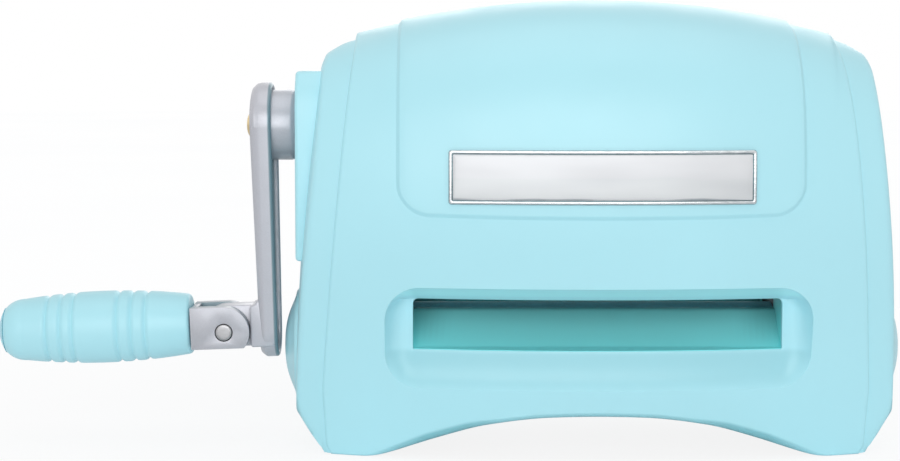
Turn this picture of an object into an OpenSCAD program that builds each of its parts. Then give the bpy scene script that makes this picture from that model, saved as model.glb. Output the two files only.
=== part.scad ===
// Hand-cranked die cutting machine with a pass-through plate slot and a folding crank grip.
// The pieces are drawn about the middle of the body, then moved so that the origin lies on the
// table under the middle of the whole machine, crank included. +Z is up, -Y is the front, and
// the crank is on the -X side.

/* [Body] */
// Height of the body above the table
body_h = 196; // [190:1:204]
// Half depth of the body at its belly
belly_d = 69; // [66:0.5:74]
// Height of the belly, the deepest place of the body
belly_z = 112; // [108:1:116]
// How far the foot of the body lies inside its belly
foot_tuck = 17.5; // [15:0.5:19]
// Radius of the front face seen from above
bow_r = 420; // [400:5:480]
// Radius of the arched top seen from the front
top_r = 423; // [400:5:480]
// Wall of the shells
wall = 3; // [2.5:0.1:3.4]
// Lift of the shell's rim above the table
rim_lift = 0.8; // [0.4:0.1:1.2]
// Width of the arch under the body
arch_w = 192; // [184:1:196]
// Height of the arch under the body
arch_h = 19.2; // [16:0.2:19.4]
// Width across the two covers' seams, low on the body
seam_low_w = 230; // [228:0.5:234]
// How much nearer the middle each seam lies at the shoulder
seam_lean = 11.5; // [10:0.5:13]
// Outer width of the feet
foot_w = 222; // [220:0.5:226]

/* [Raised band] */
// Width of the band that wraps over the top
band_w = 170; // [160:1:176]
// Rise of the band over the shell
band_rise = 1.2; // [0.6:0.1:1.6]
// Height of the band's lower edge
band_z = 103.6; // [100:0.2:106]
// Radius of the band's lower corners
band_corner = 14.5; // [10:0.5:18]
// Width of the name plate
label_w = 124.6; // [110:0.2:130]
// Height of the name plate
label_h = 22.2; // [18:0.2:24]
// Height of the name plate's middle
label_z = 121.5; // [120:0.5:126]
// Thickness of the name plate
label_t = 1.4; // [1:0.1:2]

/* [Side covers] */
// Widest half width of a cover
cover_x = 129.5; // [128.5:0.1:130.5]
// How much nearer the middle a cover's side lies at its shoulder
cover_lean = 8.2; // [7.5:0.1:9]
// Drop of a cover's shoulder below the body's top
cover_drop = 27.5; // [26:0.5:29]
// Height at which the cover's side starts to slant in to the foot
cover_low_z = 28; // [26:0.5:30]
// Radius of the cover's side seen from above
cover_bow_r = 300; // [280:5:340]
// Depth of the covers below the shell's surface
cover_step = 0.8; // [0.4:0.1:1.2]
// Wall of the covers
cover_wall = 2.5; // [2:0.1:3]
// How far the flat crank boss lies inside the cover's widest place
boss_in = 1.2; // [0.7:0.1:1.9]
// Half depth of the crank boss
boss_d = 37; // [32:0.5:38]
// Height of the crank boss's lower edge
boss_low_z = 84; // [78:1:90]
// Drop of the crank boss's upper edge below the cover's shoulder
boss_drop = 3; // [2:0.5:4.5]
// How far the round bulge stands out of the cover's widest place
bulge_out = 6.1; // [5:0.1:6.5]
// Radius of the round bulge at its base
bulge_r = 24; // [20:0.5:25]
// Radius of the round bulge's flat tip
bulge_tip_r = 9; // [7:0.5:11]

/* [Plate slot] */
// Width of the plate slot
slot_w = 155.6; // [150:0.2:156.4]
// Height of the slot's lower lip
slot_low_z = 47.3; // [46.5:0.1:48]
// Height of the slot's upper lip
slot_high_z = 68.9; // [68.6:0.1:70]
// Depth of the recess's floor, where the slot's lips lie, behind the belly
lip_back = 19; // [17:0.5:20]
// Border of the recess beside the slot
recess_side = 12.2; // [9:0.2:13]
// Border of the recess below the slot
recess_below = 16.3; // [13:0.1:17]
// Border of the recess above the slot
recess_above = 6.1; // [5.2:0.1:9]
// Radius of the recess's corners
recess_corner = 15; // [10:0.5:18]
// Depth of the shelf in front of the feed ramp
shelf_l = 12; // [11.5:0.5:14]
// Gap between the ramp's crest and the lower roller
crest_gap = 3.75; // [3.3:0.05:6]
// Drop of the plate bed below the top of the lower roller
bed_drop = 0.25; // [0.1:0.05:0.6]
// Thickness of the ramp's floor
ramp_t = 2.5; // [2:0.1:3]

/* [Rollers] */
// Diameter of both rollers
roller_d = 37.5; // [36.5:0.1:38]
// Height of the lower roller's axis
lower_z = 43.5; // [43:0.1:44]
// Wall of the roller tubes
tube_wall = 5; // [4:0.5:7]
// Thickness of the tubes' end plugs
plug_t = 8; // [6:0.5:12]
// Diameter of the roller shafts
shaft_d = 12; // [11:0.5:13]
// Radial clearance of a shaft in its bush
run_clear = 0.05; // [0.02:0.01:0.08]
// Gap between a roller's end and the frame plate
roller_end_gap = 0.6; // [0.4:0.1:0.9]

/* [Gears] */
// Module of all gears
gear_m = 1.5; // [1.46:0.01:1.52]
// Teeth of each of the two gears that tie the rollers together
sync_teeth = 29; // [28:1:30]
// Teeth of the crank pinion
pinion_teeth = 18; // [17:1:19]
// Teeth of the reduction gear
wheel_teeth = 54; // [52:1:55]
// Thinning of each tooth for backlash
gear_back = 0.16; // [0.1:0.02:0.24]
// Width of the gears
gear_w = 10; // [8:0.5:11]
// Side of the square keys
key_w = 3; // [2.5:0.1:3.2]

/* [Frame] */
// Thickness of the frame plates
frame_t = 4; // [3:0.1:4.4]
// Thickness of the slot's side cheeks, which reach out to the frame plates
cheek_t = 2.8; // [2.4:0.1:3]
// Gap between the slot's lips and the frame plates
frame_back = 13; // [12.7:0.1:15]
// Drop of the frame plates' top below the body's top
frame_drop = 36; // [33:0.5:38]
// Height of the base plate's underside
base_z = 20; // [19.8:0.1:20.4]
// Thickness of the base plate
base_t = 3; // [2.5:0.1:3.2]
// Clearance around the base plate
base_clear = 0.3; // [0.2:0.05:0.6]
// Diameter of the tie rods
tie_d = 10; // [9:0.5:11]
// Half distance between the tie rods
tie_y = 30; // [29:0.5:31]
// Height of the tie rods
tie_z = 130; // [129:0.5:132]
// Wall of the bushes
bush_wall = 2; // [1.5:0.1:2.2]
// Thickness of the bushes' flanges
flange_t = 2; // [1.5:0.1:2.2]

/* [Fasteners and feet] */
// Thread diameter of the screws
screw_d = 4; // [3.5:0.1:4.2]
// Head diameter of the screws
head_d = 7.6; // [7:0.1:8]
// Head height of the screws
head_h = 2.6; // [2:0.1:3]
// Diameter of the screw posts
post_d = 12; // [11.4:0.1:12.6]
// Diameter of the rubber feet
pad_d = 13; // [11:0.5:14]
// Thickness of the rubber feet
pad_t = 3; // [2.4:0.1:3.4]
// Distance of the rubber feet from the outer ends of the feet
pad_in = 8.5; // [7.5:0.5:9]
// Distance of the rubber feet behind the body's foot
pad_back = 24.5; // [23.5:0.5:27.5]

/* [Crank] */
// Diameter of the crank shaft
crank_d = 10; // [9:0.1:10.4]
// Diameter of the crank hub
hub_d = 31; // [28:0.5:33]
// Gap between the hub and the boss
hub_gap = 0.7; // [0.4:0.1:1]
// Distance of the crank arm's middle plane from the middle of the machine, at the hub
arm_x = 145.7; // [145:0.1:147]
// Thickness of the crank arm
arm_t = 8; // [7:0.1:8.4]
// Radius of the arm's upper end
arm_top_r = 18.5; // [17:0.5:20]
// Radius of the arm's lower end
arm_low_r = 13; // [12:0.5:14]
// Lean of the arm towards the body
arm_lean = 2.1; // [1.5:0.1:2.3]
// Crank throw, from the crank axis to the grip axis
throw_l = 87.3; // [84:0.1:88.5]
// Depth of the channel in the arm's inner side
channel_h = 4.5; // [3:0.1:5]
// Wall beside the channel
channel_wall = 2.6; // [2:0.1:4]
// Diameter of the cap nut
cap_d = 13; // [11:0.5:15]
// Height of the cap nut
cap_h = 3.1; // [2.6:0.1:3.6]

/* [Folding grip] */
// Distance of the hinge pin from the arm's middle plane
pin_x = 19.5; // [19:0.1:21]
// Drop of the hinge pin below the grip axis
pin_drop = 2.9; // [2.4:0.1:3.2]
// Diameter of the hinge pin
pin_d = 7.8; // [7:0.1:8.2]
// Radius of the fork's rounded end
fork_r = 11.2; // [10.8:0.1:11.6]
// Width of the fork
fork_w = 27; // [25:0.5:28]
// Width of the arm's tongue
tongue_w = 13; // [11:0.5:14]
// Radius of the tongue's end
tongue_r = 11; // [10:0.1:11.2]
// Side clearance of the tongue in the fork
tongue_gap = 0.3; // [0.2:0.05:0.5]
// Distance of the fork's root face from the hinge pin
fork_l = 14.6; // [14.2:0.1:15.4]
// Thickness of the fork's root
root_t = 2.9; // [2.5:0.1:3.2]
// Flat underside of the fork below the hinge pin
fork_under = 7.2; // [6.8:0.1:7.6]
// Length of the grip sleeve
grip_l = 86; // [78:1:96]
// Largest diameter of the grip sleeve
grip_d = 32; // [29:0.5:32.4]
// Depth of the grip's ring grooves
groove_h = 0.9; // [0.5:0.1:1.3]
// Gap between the fork and the sleeve
grip_gap = 0.6; // [0.4:0.1:0.9]
// Diameter of the grip spindle
spindle_d = 8; // [7:0.1:8.6]
// Diameter of the spindle's head
spindle_head_d = 13; // [12:0.5:14]
// Height of the spindle's head
spindle_head_h = 4; // [3:0.1:5]

/* [Hidden] */
$fn = 96;
ring_fn = 240;
turn_angle = 80;
body_color = "#B4E8EC";
deep_color = "#5FA9B4";
steel_color = "#C9CBD0";
grey_color = "#BEBEC8";
brass_color = "#D8B36A";

// Heights and places that follow from the sizes above
upper_z = lower_z + gear_m * sync_teeth;
crank_z = upper_z + gear_m * (pinion_teeth + wheel_teeth) / 2;
bow_y = bow_r - belly_d;
foot_d = belly_d - foot_tuck;
lip_d = belly_d - lip_back;
lip_r = bow_y + lip_d;
frame_d = lip_d - frame_back;
frame_top_z = body_h - frame_drop;
seam_low_x = seam_low_w / 2;
seam_top_x = seam_low_x - seam_lean;
seam_low_z = cover_low_z;
cover_top_x = cover_x - cover_lean;
cover_top_z = body_h - cover_drop;
boss_x = cover_x - boss_in;
boss_top_z = cover_top_z - boss_drop;
bulge_x = cover_x + bulge_out;
recess_w = slot_w + 2 * recess_side;
recess_low_z = slot_low_z - recess_below;
recess_high_z = slot_high_z + recess_above;
ramp_low_d = lip_d - shelf_l;
ramp_high_d = roller_d / 2 + crest_gap;
pad_x = foot_w / 2 - pad_in;
pad_y = foot_d - pad_back;
shoulder_drop = 11.5;
seam_top_z = cover_top_z + shoulder_drop;
frame_in = slot_w / 2 + cheek_t;
frame_out = frame_in + frame_t;
base_top = base_z + base_t;
bed_z = lower_z + roller_d / 2 - bed_drop;
gear_in = recess_w / 2 + wall + 1;
gear_out = gear_in + gear_w;
roller_half = frame_in - roller_end_gap;
ring_t = 1.2;
far = 200;

// Half depth of the body's middle profile, grown by g, from the table to the top
function smooth(u) = u * u * (3 - 2 * u);
lower_steps = 7;
upper_steps = 11;
top_power = 2.5;
front_power = 2.8;
function low_profile() = [for (i = [0:lower_steps - 1])
    let (u = 1 - i / lower_steps)
    [belly_d - (belly_d - foot_d) * smooth(u), belly_z * (1 - u)]];
function high_profile() = [for (i = [0:upper_steps])
    let (a = 90 * i / upper_steps)
    [belly_d * pow(cos(a), 2 / front_power),
     belly_z + (body_h - belly_z) * pow(sin(a), 2 / top_power)]];
function unit(v) = v / norm(v);
function along(p, i) = unit(p[min(i + 1, len(p) - 1)] - p[max(i - 1, 0)]);
function grown(p, g) = [for (i = [0:len(p) - 1])
    let (t = i == len(p) - 1 ? [-1, 0] : along(p, i))
    p[i] + g * [t[1], -t[0]]];
body_profile = concat(low_profile(), high_profile());

// Half width at the covers' seams, and of a cover's side, at the height z
function seam_x(z) = seam_low_x - (seam_low_x - seam_top_x)
    * pow(min(1, max(0, (z - seam_low_z) / (seam_top_z - seam_low_z))), 2.2);
function side_x(z) = cover_x - (cover_x - cover_top_x)
    * pow(max(0, (z - cover_low_z) / (cover_top_z - cover_low_z)), 1.8);
function top_z(x) = body_h - x * x / (2 * top_r);
function arch_z(x) = arch_h * smooth(min(1, (1 - x / (arch_w / 2)) / 0.86));

// Solids of revolution that give the front face and the side faces their bow
front_reach = 120;
side_reach = 60;
module turned(points, centre, middle) {
    translate(centre) rotate_extrude(angle = turn_angle, start = middle - turn_angle / 2, $fn = ring_fn)
        polygon(points);
}
module front_body(g) {
    outline = [for (p = grown(body_profile, g)) [bow_y + p[0], p[1]]];
    turned(concat([[bow_y - front_reach, -5], [bow_y + foot_d + g, -5]], outline,
        [[bow_y - front_reach, body_h + g]]), [0, bow_y, 0], -90);
}
module within_depth(g) {
    intersection() {
        children();
        front_body(g);
        mirror([0, 1, 0]) front_body(g);
    }
}
side_steps = 9;
shoulder_in = 5.5;
crown_out = 4.5;
crown_drop = 2.6;
crown_in = 8;
module right_side(g) {
    c = cover_bow_r - cover_x;
    top = top_z(seam_top_x) - band_rise - cover_step + g;
    foot = [[c + foot_w / 2 - 1 + g, -4], [c + foot_w / 2 + g, 2]];
    side = [for (i = [0:side_steps])
        let (z = cover_low_z + (cover_top_z - cover_low_z) * i / side_steps)
        [c + side_x(z) + g, z]];
    shoulder = [[c + cover_top_x - shoulder_in + g, cover_top_z + shoulder_in + g / 2],
        [c + seam_top_x + crown_out, top - crown_drop], [c + seam_top_x - crown_in, top + 1]];
    turned(concat([[c + side_reach, -4]], foot, side, shoulder, [[c + side_reach, top + 1]]), [-c, 0, 0], 0);
}

// Extrusions along the machine's axes
module along_x(x0, x1) {
    translate([x0, 0, 0]) rotate([90, 0, 90]) linear_extrude(x1 - x0) children();
}
module to_front(y0, y1) {
    translate([0, y0, 0]) rotate([90, 0, 0]) linear_extrude(y0 - y1) children();
}
module rod_x(x0, x1, r, y = 0, z = 0) {
    translate([x0, y, z]) rotate([0, 90, 0]) cylinder(r = r, h = x1 - x0);
}
module rod_y(y0, y1, r, x = 0, z = 0) {
    translate([x, y0, z]) rotate([-90, 0, 0]) cylinder(r = r, h = y1 - y0);
}
module both_x() {
    children();
    mirror([1, 0, 0]) children();
}
module both_y() {
    children();
    mirror([0, 1, 0]) children();
}
module four() {
    both_x() both_y() children();
}
module round_rect(w, z0, z1, r) {
    translate([-w / 2 + r, z0]) square([w - 2 * r, z1 - z0]);
    translate([-w / 2, z0 + r]) square([w, z1 - z0 - 2 * r]);
    for (x = [-w / 2 + r, w / 2 - r], z = [z0 + r, z1 - r]) translate([x, z]) circle(r);
}

// Front view of the two centre shells, with the arch cut in its lower edge
arch_steps = 9;
seam_steps = 8;
top_steps = 8;
foot_turn_z = 5;
function seam_edge() = [for (i = [0:seam_steps])
    let (z = seam_low_z + (seam_top_z - seam_low_z) * i / seam_steps)
    [seam_x(z), z]];
function half_outline() = concat(
    [for (i = [arch_steps:-1:0])
        let (x = arch_w / 2 * (1 - i / arch_steps))
        [x, max(rim_lift, arch_z(x))]],
    [[foot_w / 2 - 1, rim_lift], [seam_low_x - 1, foot_turn_z]],
    seam_edge(),
    [for (i = [top_steps:-1:0])
        let (x = seam_top_x * i / top_steps)
        [x, top_z(x) - band_rise]]);
function mirrored(half) = concat(half, [for (i = [len(half) - 1:-1:0]) [-half[i][0], half[i][1]]]);
module centre_outline() {
    polygon(mirrored(half_outline()));
}
module seam_region(g) {
    polygon(mirrored(concat([[seam_low_x + g, -6]], [for (p = seam_edge()) [p[0] + g, p[1]]],
        [[seam_top_x + g, body_h + 10]])));
}
module under_top(w, base, drop) {
    polygon(mirrored(concat([[w, base]], [for (i = [top_steps:-1:0])
        let (x = w * i / top_steps)
        [x, top_z(x) - drop]])));
}
band_over = 60;
module band_outline() {
    intersection() {
        round_rect(band_w, band_z, body_h + band_over, band_corner);
        under_top(band_w / 2, 0, 0);
    }
}
foot_in_x = 92;
floor_t = 4;
cavity_over = 20;
module cavity_outline() {
    w = seam_low_x + cavity_over;
    difference() {
        under_top(w, -8, band_rise + wall);
        both_x() translate([foot_in_x, -9]) square([w - foot_in_x + 1, 9 + rim_lift + floor_t]);
    }
}

// Screw posts of the shells and covers
base_post_x = 60;
base_post_in = 12.7;
base_post_y = foot_d - base_post_in;
base_post_h = 12;
base_rib_w = 8;
shell_post_x = 60;
shell_post_drop = 22;
shell_post_z = body_h - shell_post_drop;
shell_seat = 12;
shell_grip = 11;
cover_post_y = 30;
cover_post_low_z = 34;
cover_post_drop = 10;
cover_post_high_z = frame_top_z - cover_post_drop;
cover_post_r = 5;
cover_grip = 10;
cover_post_sink = pow(cover_post_y + cover_post_r, 2) / (2 * cover_bow_r) + 0.5;
screw_l = 12;
screw_r = screw_d / 2;
hole_spare = 1;
module cover_post_places() {
    for (z = [cover_post_low_z, cover_post_high_z], y = [-cover_post_y, cover_post_y])
        translate([0, y, z]) children();
}
module base_post_places() {
    for (x = [-base_post_x, base_post_x]) translate([x, -base_post_y, base_top]) children();
}
module lip_cylinder(g) {
    translate([0, bow_y, -1]) cylinder(r = lip_r + g, h = far, $fn = ring_fn);
}
module recess_block() {
    intersection() {
        front_body(-band_rise);
        difference() {
            to_front(0, -far) round_rect(recess_w + 2 * wall, recess_low_z - wall,
                recess_high_z + wall, recess_corner + wall);
            lip_cylinder(-wall);
        }
    }
}
module slot_cut() {
    difference() {
        to_front(0, -far) round_rect(recess_w, recess_low_z, recess_high_z, recess_corner);
        lip_cylinder(0);
    }
    to_front(0, -far) translate([-slot_w / 2, slot_low_z]) square([slot_w, slot_high_z - slot_low_z]);
}

// One centre shell, made as the front one. Its mirror image is the rear one, which holds the heads
// of the two shell screws.
module shell_half(with_heads) {
    difference() {
        union() {
            difference() {
                union() {
                    intersection() {
                        front_body(-band_rise);
                        to_front(0, -far) centre_outline();
                    }
                    intersection() {
                        front_body(0);
                        to_front(0, -far) band_outline();
                    }
                }
                intersection() {
                    front_body(-band_rise - wall);
                    to_front(1, -far) cavity_outline();
                }
            }
            recess_block();
            base_post_places() cylinder(d = post_d, h = base_post_h);
            intersection() {
                front_body(-band_rise - wall / 2);
                base_post_places() translate([-base_rib_w / 2, -far, 0]) cube([base_rib_w, far, base_post_h]);
            }
            intersection() {
                front_body(-band_rise - wall / 2);
                for (x = [-shell_post_x, shell_post_x]) rod_y(-far, 0, post_d / 2, x, shell_post_z);
            }
        }
        slot_cut();
        base_post_places() translate([0, 0, -1]) cylinder(r = screw_r, h = screw_l - base_t + 1 + hole_spare);
        for (x = [-shell_post_x, shell_post_x]) {
            rod_y(-shell_grip - hole_spare, 1, screw_r, x, shell_post_z);
            if (with_heads) rod_y(-far, -shell_seat, head_d / 2 + 0.2, x, shell_post_z);
        }
        for (x = [-pad_x, pad_x]) translate([x, -pad_y, -1]) cylinder(d = pad_d, h = pad_t + 1);
    }
}
module front_shell() {
    color(body_color) shell_half(false);
}
module rear_shell() {
    color(body_color) mirror([0, 1, 0]) shell_half(true);
}

// Side covers. Both are made as the right one, and the left one is its mirror image with a boss.
bulge_rise = 3.5;
bulge_depth = 13;
bulge_flare = 4;
bulge_sink = 0.5;
module bulge() {
    base = cover_x - bulge_sink;
    translate([0, 0, lower_z]) {
        rod_x(cover_x - bulge_depth, base, bulge_r);
        translate([base, 0, 0]) rotate([0, 90, 0])
            cylinder(r1 = bulge_r, r2 = bulge_r - bulge_rise, h = bulge_rise);
        translate([base + bulge_rise, 0, 0]) rotate([0, 90, 0])
            cylinder(r1 = bulge_r - bulge_rise, r2 = bulge_tip_r, h = bulge_x - base - bulge_rise);
    }
}
module bulge_hollow() {
    start = cover_x - bulge_depth;
    end = bulge_x - cover_wall;
    translate([start, 0, lower_z]) rotate([0, 90, 0])
        cylinder(r1 = bulge_r + bulge_flare, r2 = bulge_tip_r - cover_wall, h = end - start);
}
pad_boss_t = 10;
boss_reach = 22;
module boss() {
    translate([boss_x - boss_reach, -boss_d, boss_low_z])
        cube([boss_reach, 2 * boss_d, boss_top_z - boss_low_z]);
}
module cover_body(with_boss) {
    pad_r = bush_out(crank_d) + 4;
    difference() {
        union() {
            difference() {
                union() {
                    within_depth(-band_rise - cover_step) right_side(0);
                    bulge();
                    if (with_boss) boss();
                }
                within_depth(-band_rise - cover_step - wall) right_side(-cover_wall);
                bulge_hollow();
                to_front(far, -far) seam_region(0);
            }
            for (z = [cover_post_low_z, cover_post_high_z], y = [-cover_post_y, cover_post_y])
                rod_x(frame_out, side_x(z) - cover_post_sink, cover_post_r, y, z);
            if (with_boss) rod_x(boss_x - pad_boss_t, boss_x - 1, pad_r, 0, crank_z);
        }
        cover_post_places() rod_x(frame_out - 1, frame_out + cover_grip + hole_spare, screw_r);
        if (with_boss) rod_x(boss_x - pad_boss_t - 1, boss_x + 1, bush_out(crank_d), 0, crank_z);
    }
}
module left_side_cover() {
    color(body_color) mirror([1, 0, 0]) cover_body(true);
}
module right_side_cover() {
    color(body_color) cover_body(false);
}
module name_plate() {
    color("silver") intersection() {
        difference() {
            front_body(label_t);
            front_body(0);
        }
        to_front(0, -far) translate([-label_w / 2, label_z - label_h / 2]) square([label_w, label_h]);
    }
}

// Feed ramps: a shelf behind the lower lip, a slope up to the plate bed, and two cheeks
bed_end_d = ramp_high_d - 3.2;
cheek_rise = 3;
module feed_ramp() {
    color(deep_color) intersection() {
        union() {
            along_x(-slot_w / 2 - 0.1, slot_w / 2 + 0.1) polygon([
                [-far / 2, slot_low_z], [-ramp_low_d, slot_low_z], [-ramp_high_d, bed_z], [-bed_end_d, bed_z],
                [-bed_end_d, bed_z - ramp_t], [-ramp_high_d + 1, bed_z - ramp_t],
                [-ramp_low_d + 1, slot_low_z - ramp_t], [-far / 2, slot_low_z - ramp_t]]);
            both_x() along_x(slot_w / 2, frame_in) polygon([
                [-far / 2, slot_low_z - ramp_t], [-ramp_low_d + 1, slot_low_z - ramp_t],
                [-ramp_high_d + 1, bed_z - ramp_t], [-bed_end_d, bed_z - ramp_t],
                [-bed_end_d, slot_high_z + cheek_rise], [-far / 2, slot_high_z + cheek_rise]]);
        }
        lip_cylinder(-wall);
    }
}
module front_feed_ramp() {
    feed_ramp();
}
module rear_feed_ramp() {
    mirror([0, 1, 0]) feed_ramp();
}

// Frame: a base plate and two side plates with bushes, tied by two rods
base_half = frame_out + 2.4;
tab_l = 12;
tab_y0 = 20;
tab_y1 = 36;
tab_t = 3;
tab_screw_x = frame_in - tab_l / 2;
tab_screw_y = (tab_y0 + tab_y1) / 2;
frame_chamfer = 10;
tie_end_r = tie_d / 2 - 1;
function bush_out(d) = d / 2 + bush_wall;
module base_plate() {
    color("slategray") difference() {
        within_depth(-band_rise - wall - base_clear)
            translate([-base_half, -far, base_z]) cube([2 * base_half, 2 * far, base_t]);
        both_y() base_post_places() translate([0, 0, -base_t - 1]) cylinder(r = screw_r, h = base_t + 2);
        four() translate([tab_screw_x, tab_screw_y, base_z - 1]) cylinder(r = screw_r, h = base_t + 2);
    }
}
module rubber_feet() {
    color("dimgray") four() translate([pad_x, pad_y, 0]) cylinder(d = pad_d, h = pad_t);
}
module frame_plate(with_crank) {
    difference() {
        union() {
            along_x(frame_in, frame_out) polygon([
                [-frame_d, base_top], [frame_d, base_top], [frame_d, frame_top_z - frame_chamfer],
                [frame_d - frame_chamfer, frame_top_z], [-frame_d + frame_chamfer, frame_top_z],
                [-frame_d, frame_top_z - frame_chamfer]]);
            both_y() translate([frame_in - tab_l, tab_y0, base_top])
                cube([tab_l + 1, tab_y1 - tab_y0, tab_t]);
        }
        for (z = [lower_z, upper_z]) rod_x(frame_in - 1, frame_out + 1, bush_out(shaft_d), 0, z);
        if (with_crank) rod_x(frame_in - 1, frame_out + 1, bush_out(crank_d), 0, crank_z);
        both_y() rod_x(frame_in - 1, frame_out + 1, tie_end_r, tie_y, tie_z);
        cover_post_places() rod_x(frame_in - 1, frame_out + 1, screw_r);
        both_y() translate([tab_screw_x, tab_screw_y, base_top - 1]) cylinder(r = screw_r, h = tab_t + 2);
    }
}
module left_frame() {
    color(steel_color) mirror([1, 0, 0]) frame_plate(true);
}
module right_frame() {
    color(steel_color) frame_plate(false);
}
nut_t = 5;
nut_r = 7;
module tie_rods() {
    color(steel_color) both_y() {
        rod_x(-frame_in, frame_in, tie_d / 2, tie_y, tie_z);
        rod_x(-frame_out - nut_t, frame_out + nut_t, tie_end_r, tie_y, tie_z);
    }
}
module tie_rod_nuts() {
    color(steel_color) four() difference() {
        translate([frame_out, tie_y, tie_z]) rotate([0, 90, 0]) cylinder(r = nut_r, h = nut_t, $fn = 6);
        rod_x(frame_out - 1, frame_out + nut_t + 1, tie_end_r, tie_y, tie_z);
    }
}
module flanged_bush(x0, x1, d, flange_x) {
    difference() {
        union() {
            rod_x(x0, x1, bush_out(d));
            rod_x(flange_x, flange_x + flange_t, bush_out(d) + 2);
        }
        rod_x(x0 - flange_t - 1, x1 + flange_t + 1, d / 2 + run_clear);
    }
}
module roller_bushes() {
    color(brass_color) for (z = [lower_z, upper_z]) translate([0, 0, z]) both_x()
        flanged_bush(frame_in, frame_out, shaft_d, frame_out);
}
module crank_bushes() {
    color(brass_color) translate([0, 0, crank_z]) mirror([1, 0, 0]) {
        flanged_bush(frame_in, frame_out, crank_d, frame_out);
        flanged_bush(boss_x - pad_boss_t, boss_x, crank_d, boss_x - pad_boss_t - flange_t);
    }
}

// Screws: a head and a shank along the local +Z, with the head below the seat
module screw(l) {
    cylinder(r = screw_r, h = l);
    translate([0, 0, -head_h]) cylinder(d = head_d, h = head_h);
}
module base_screws() {
    color("gray") both_y() base_post_places() translate([0, 0, -base_t]) screw(screw_l);
}
module frame_screws() {
    color("gray") four() translate([tab_screw_x, tab_screw_y, base_top + tab_t]) rotate([180, 0, 0])
        screw(tab_t + base_t);
}
module shell_screws() {
    color("gray") for (x = [-shell_post_x, shell_post_x]) translate([x, shell_seat, shell_post_z])
        rotate([90, 0, 0]) screw(shell_seat + shell_grip);
}
module cover_screws() {
    color("gray") both_x() cover_post_places() translate([frame_in, 0, 0]) rotate([0, 90, 0])
        screw(frame_t + cover_grip);
}

// Gears: involute teeth of pressure angle 20 degrees
pressure = 20;
flank_steps = 2;
function involute(a) = tan(a) * 180 / PI - a;
function half_tooth(teeth, r) =
    let (rp = gear_m * teeth / 2, rb = rp * cos(pressure))
    90 / teeth - gear_back / (2 * rp) * 180 / PI + involute(pressure)
    - (r > rb ? involute(acos(rb / r)) : 0);
function flank_radii(teeth) =
    let (rp = gear_m * teeth / 2, rb = rp * cos(pressure), rf = rp - 1.25 * gear_m, ra = rp + gear_m,
        start = max(rb, rf))
    concat(rf < rb ? [rf] : [], [for (i = [0:flank_steps]) start + (ra - start) * i / flank_steps]);
function gear_points(teeth, phase) =
    let (radii = flank_radii(teeth), n = len(radii))
    [for (k = [0:teeth - 1], i = [0:2 * n - 1])
        let (j = i < n ? i : 2 * n - 1 - i, side = i < n ? -1 : 1, r = radii[j],
            a = phase + 360 * k / teeth + side * half_tooth(teeth, r))
        r * [cos(a), sin(a)]];
hub_wall = 5;
hub_gap_in = 0.6;
module gear(teeth, bore, phase) {
    difference() {
        union() {
            along_x(gear_in, gear_out) polygon(gear_points(teeth, phase));
            rod_x(frame_out + flange_t + hub_gap_in, gear_in + 1, bore + hub_wall);
        }
        rod_x(frame_out, gear_out + 1, bore);
        key(bore);
    }
}
module key(r) {
    translate([gear_in, -key_w / 2, r - key_w / 2]) cube([gear_w, key_w, key_w]);
}
module retaining_ring(x, r) {
    difference() {
        rod_x(x, x + ring_t, r + 3);
        rod_x(x - 1, x + ring_t + 1, r - 0.7);
    }
}
module reduction_gear() {
    color("wheat") translate([0, 0, upper_z]) mirror([1, 0, 0]) gear(wheel_teeth, shaft_d / 2, 90);
}
module upper_sync_gear() {
    color("wheat") translate([0, 0, upper_z]) gear(sync_teeth, shaft_d / 2, -90);
}
module lower_sync_gear() {
    color("wheat") translate([0, 0, lower_z]) gear(sync_teeth, shaft_d / 2, 90 + 180 / sync_teeth);
}
module crank_pinion() {
    color("wheat") translate([0, 0, crank_z]) mirror([1, 0, 0])
        gear(pinion_teeth, crank_d / 2, -90 + 180 / pinion_teeth);
}
module upper_gear_keys() {
    color("gray") translate([0, 0, upper_z]) both_x() key(shaft_d / 2);
}
module lower_gear_key() {
    color("gray") translate([0, 0, lower_z]) key(shaft_d / 2);
}
module pinion_key() {
    color("gray") translate([0, 0, crank_z]) mirror([1, 0, 0]) key(crank_d / 2);
}

// Rollers: a tube with two plugs on a shaft
shaft_spare = 2;
lower_ring_x = frame_out + flange_t + 0.3;
crank_ring_x = frame_in - 0.3 - ring_t;
module roller_tube() {
    difference() {
        rod_x(-roller_half, roller_half, roller_d / 2);
        rod_x(-roller_half + plug_t, roller_half - plug_t, roller_d / 2 - tube_wall);
        rod_x(-roller_half - 1, roller_half + 1, shaft_d / 2);
    }
}
module upper_roller_tube() {
    color(steel_color) translate([0, 0, upper_z]) roller_tube();
}
module lower_roller_tube() {
    color(steel_color) translate([0, 0, lower_z]) roller_tube();
}
module upper_roller_shaft() {
    end = gear_out + ring_t + shaft_spare;
    color(steel_color) translate([0, 0, upper_z]) difference() {
        rod_x(-end, end, shaft_d / 2);
        both_x() retaining_ring(gear_out, shaft_d / 2);
        both_x() key(shaft_d / 2);
    }
}
module lower_roller_shaft() {
    color(steel_color) translate([0, 0, lower_z]) difference() {
        rod_x(-lower_ring_x - ring_t - shaft_spare, gear_out + ring_t + shaft_spare, shaft_d / 2);
        retaining_ring(gear_out, shaft_d / 2);
        mirror([1, 0, 0]) retaining_ring(lower_ring_x, shaft_d / 2);
        key(shaft_d / 2);
    }
}
module upper_retaining_rings() {
    color("gray") translate([0, 0, upper_z]) both_x() retaining_ring(gear_out, shaft_d / 2);
}
module lower_retaining_rings() {
    color("gray") translate([0, 0, lower_z]) {
        retaining_ring(gear_out, shaft_d / 2);
        mirror([1, 0, 0]) retaining_ring(lower_ring_x, shaft_d / 2);
    }
}

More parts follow.
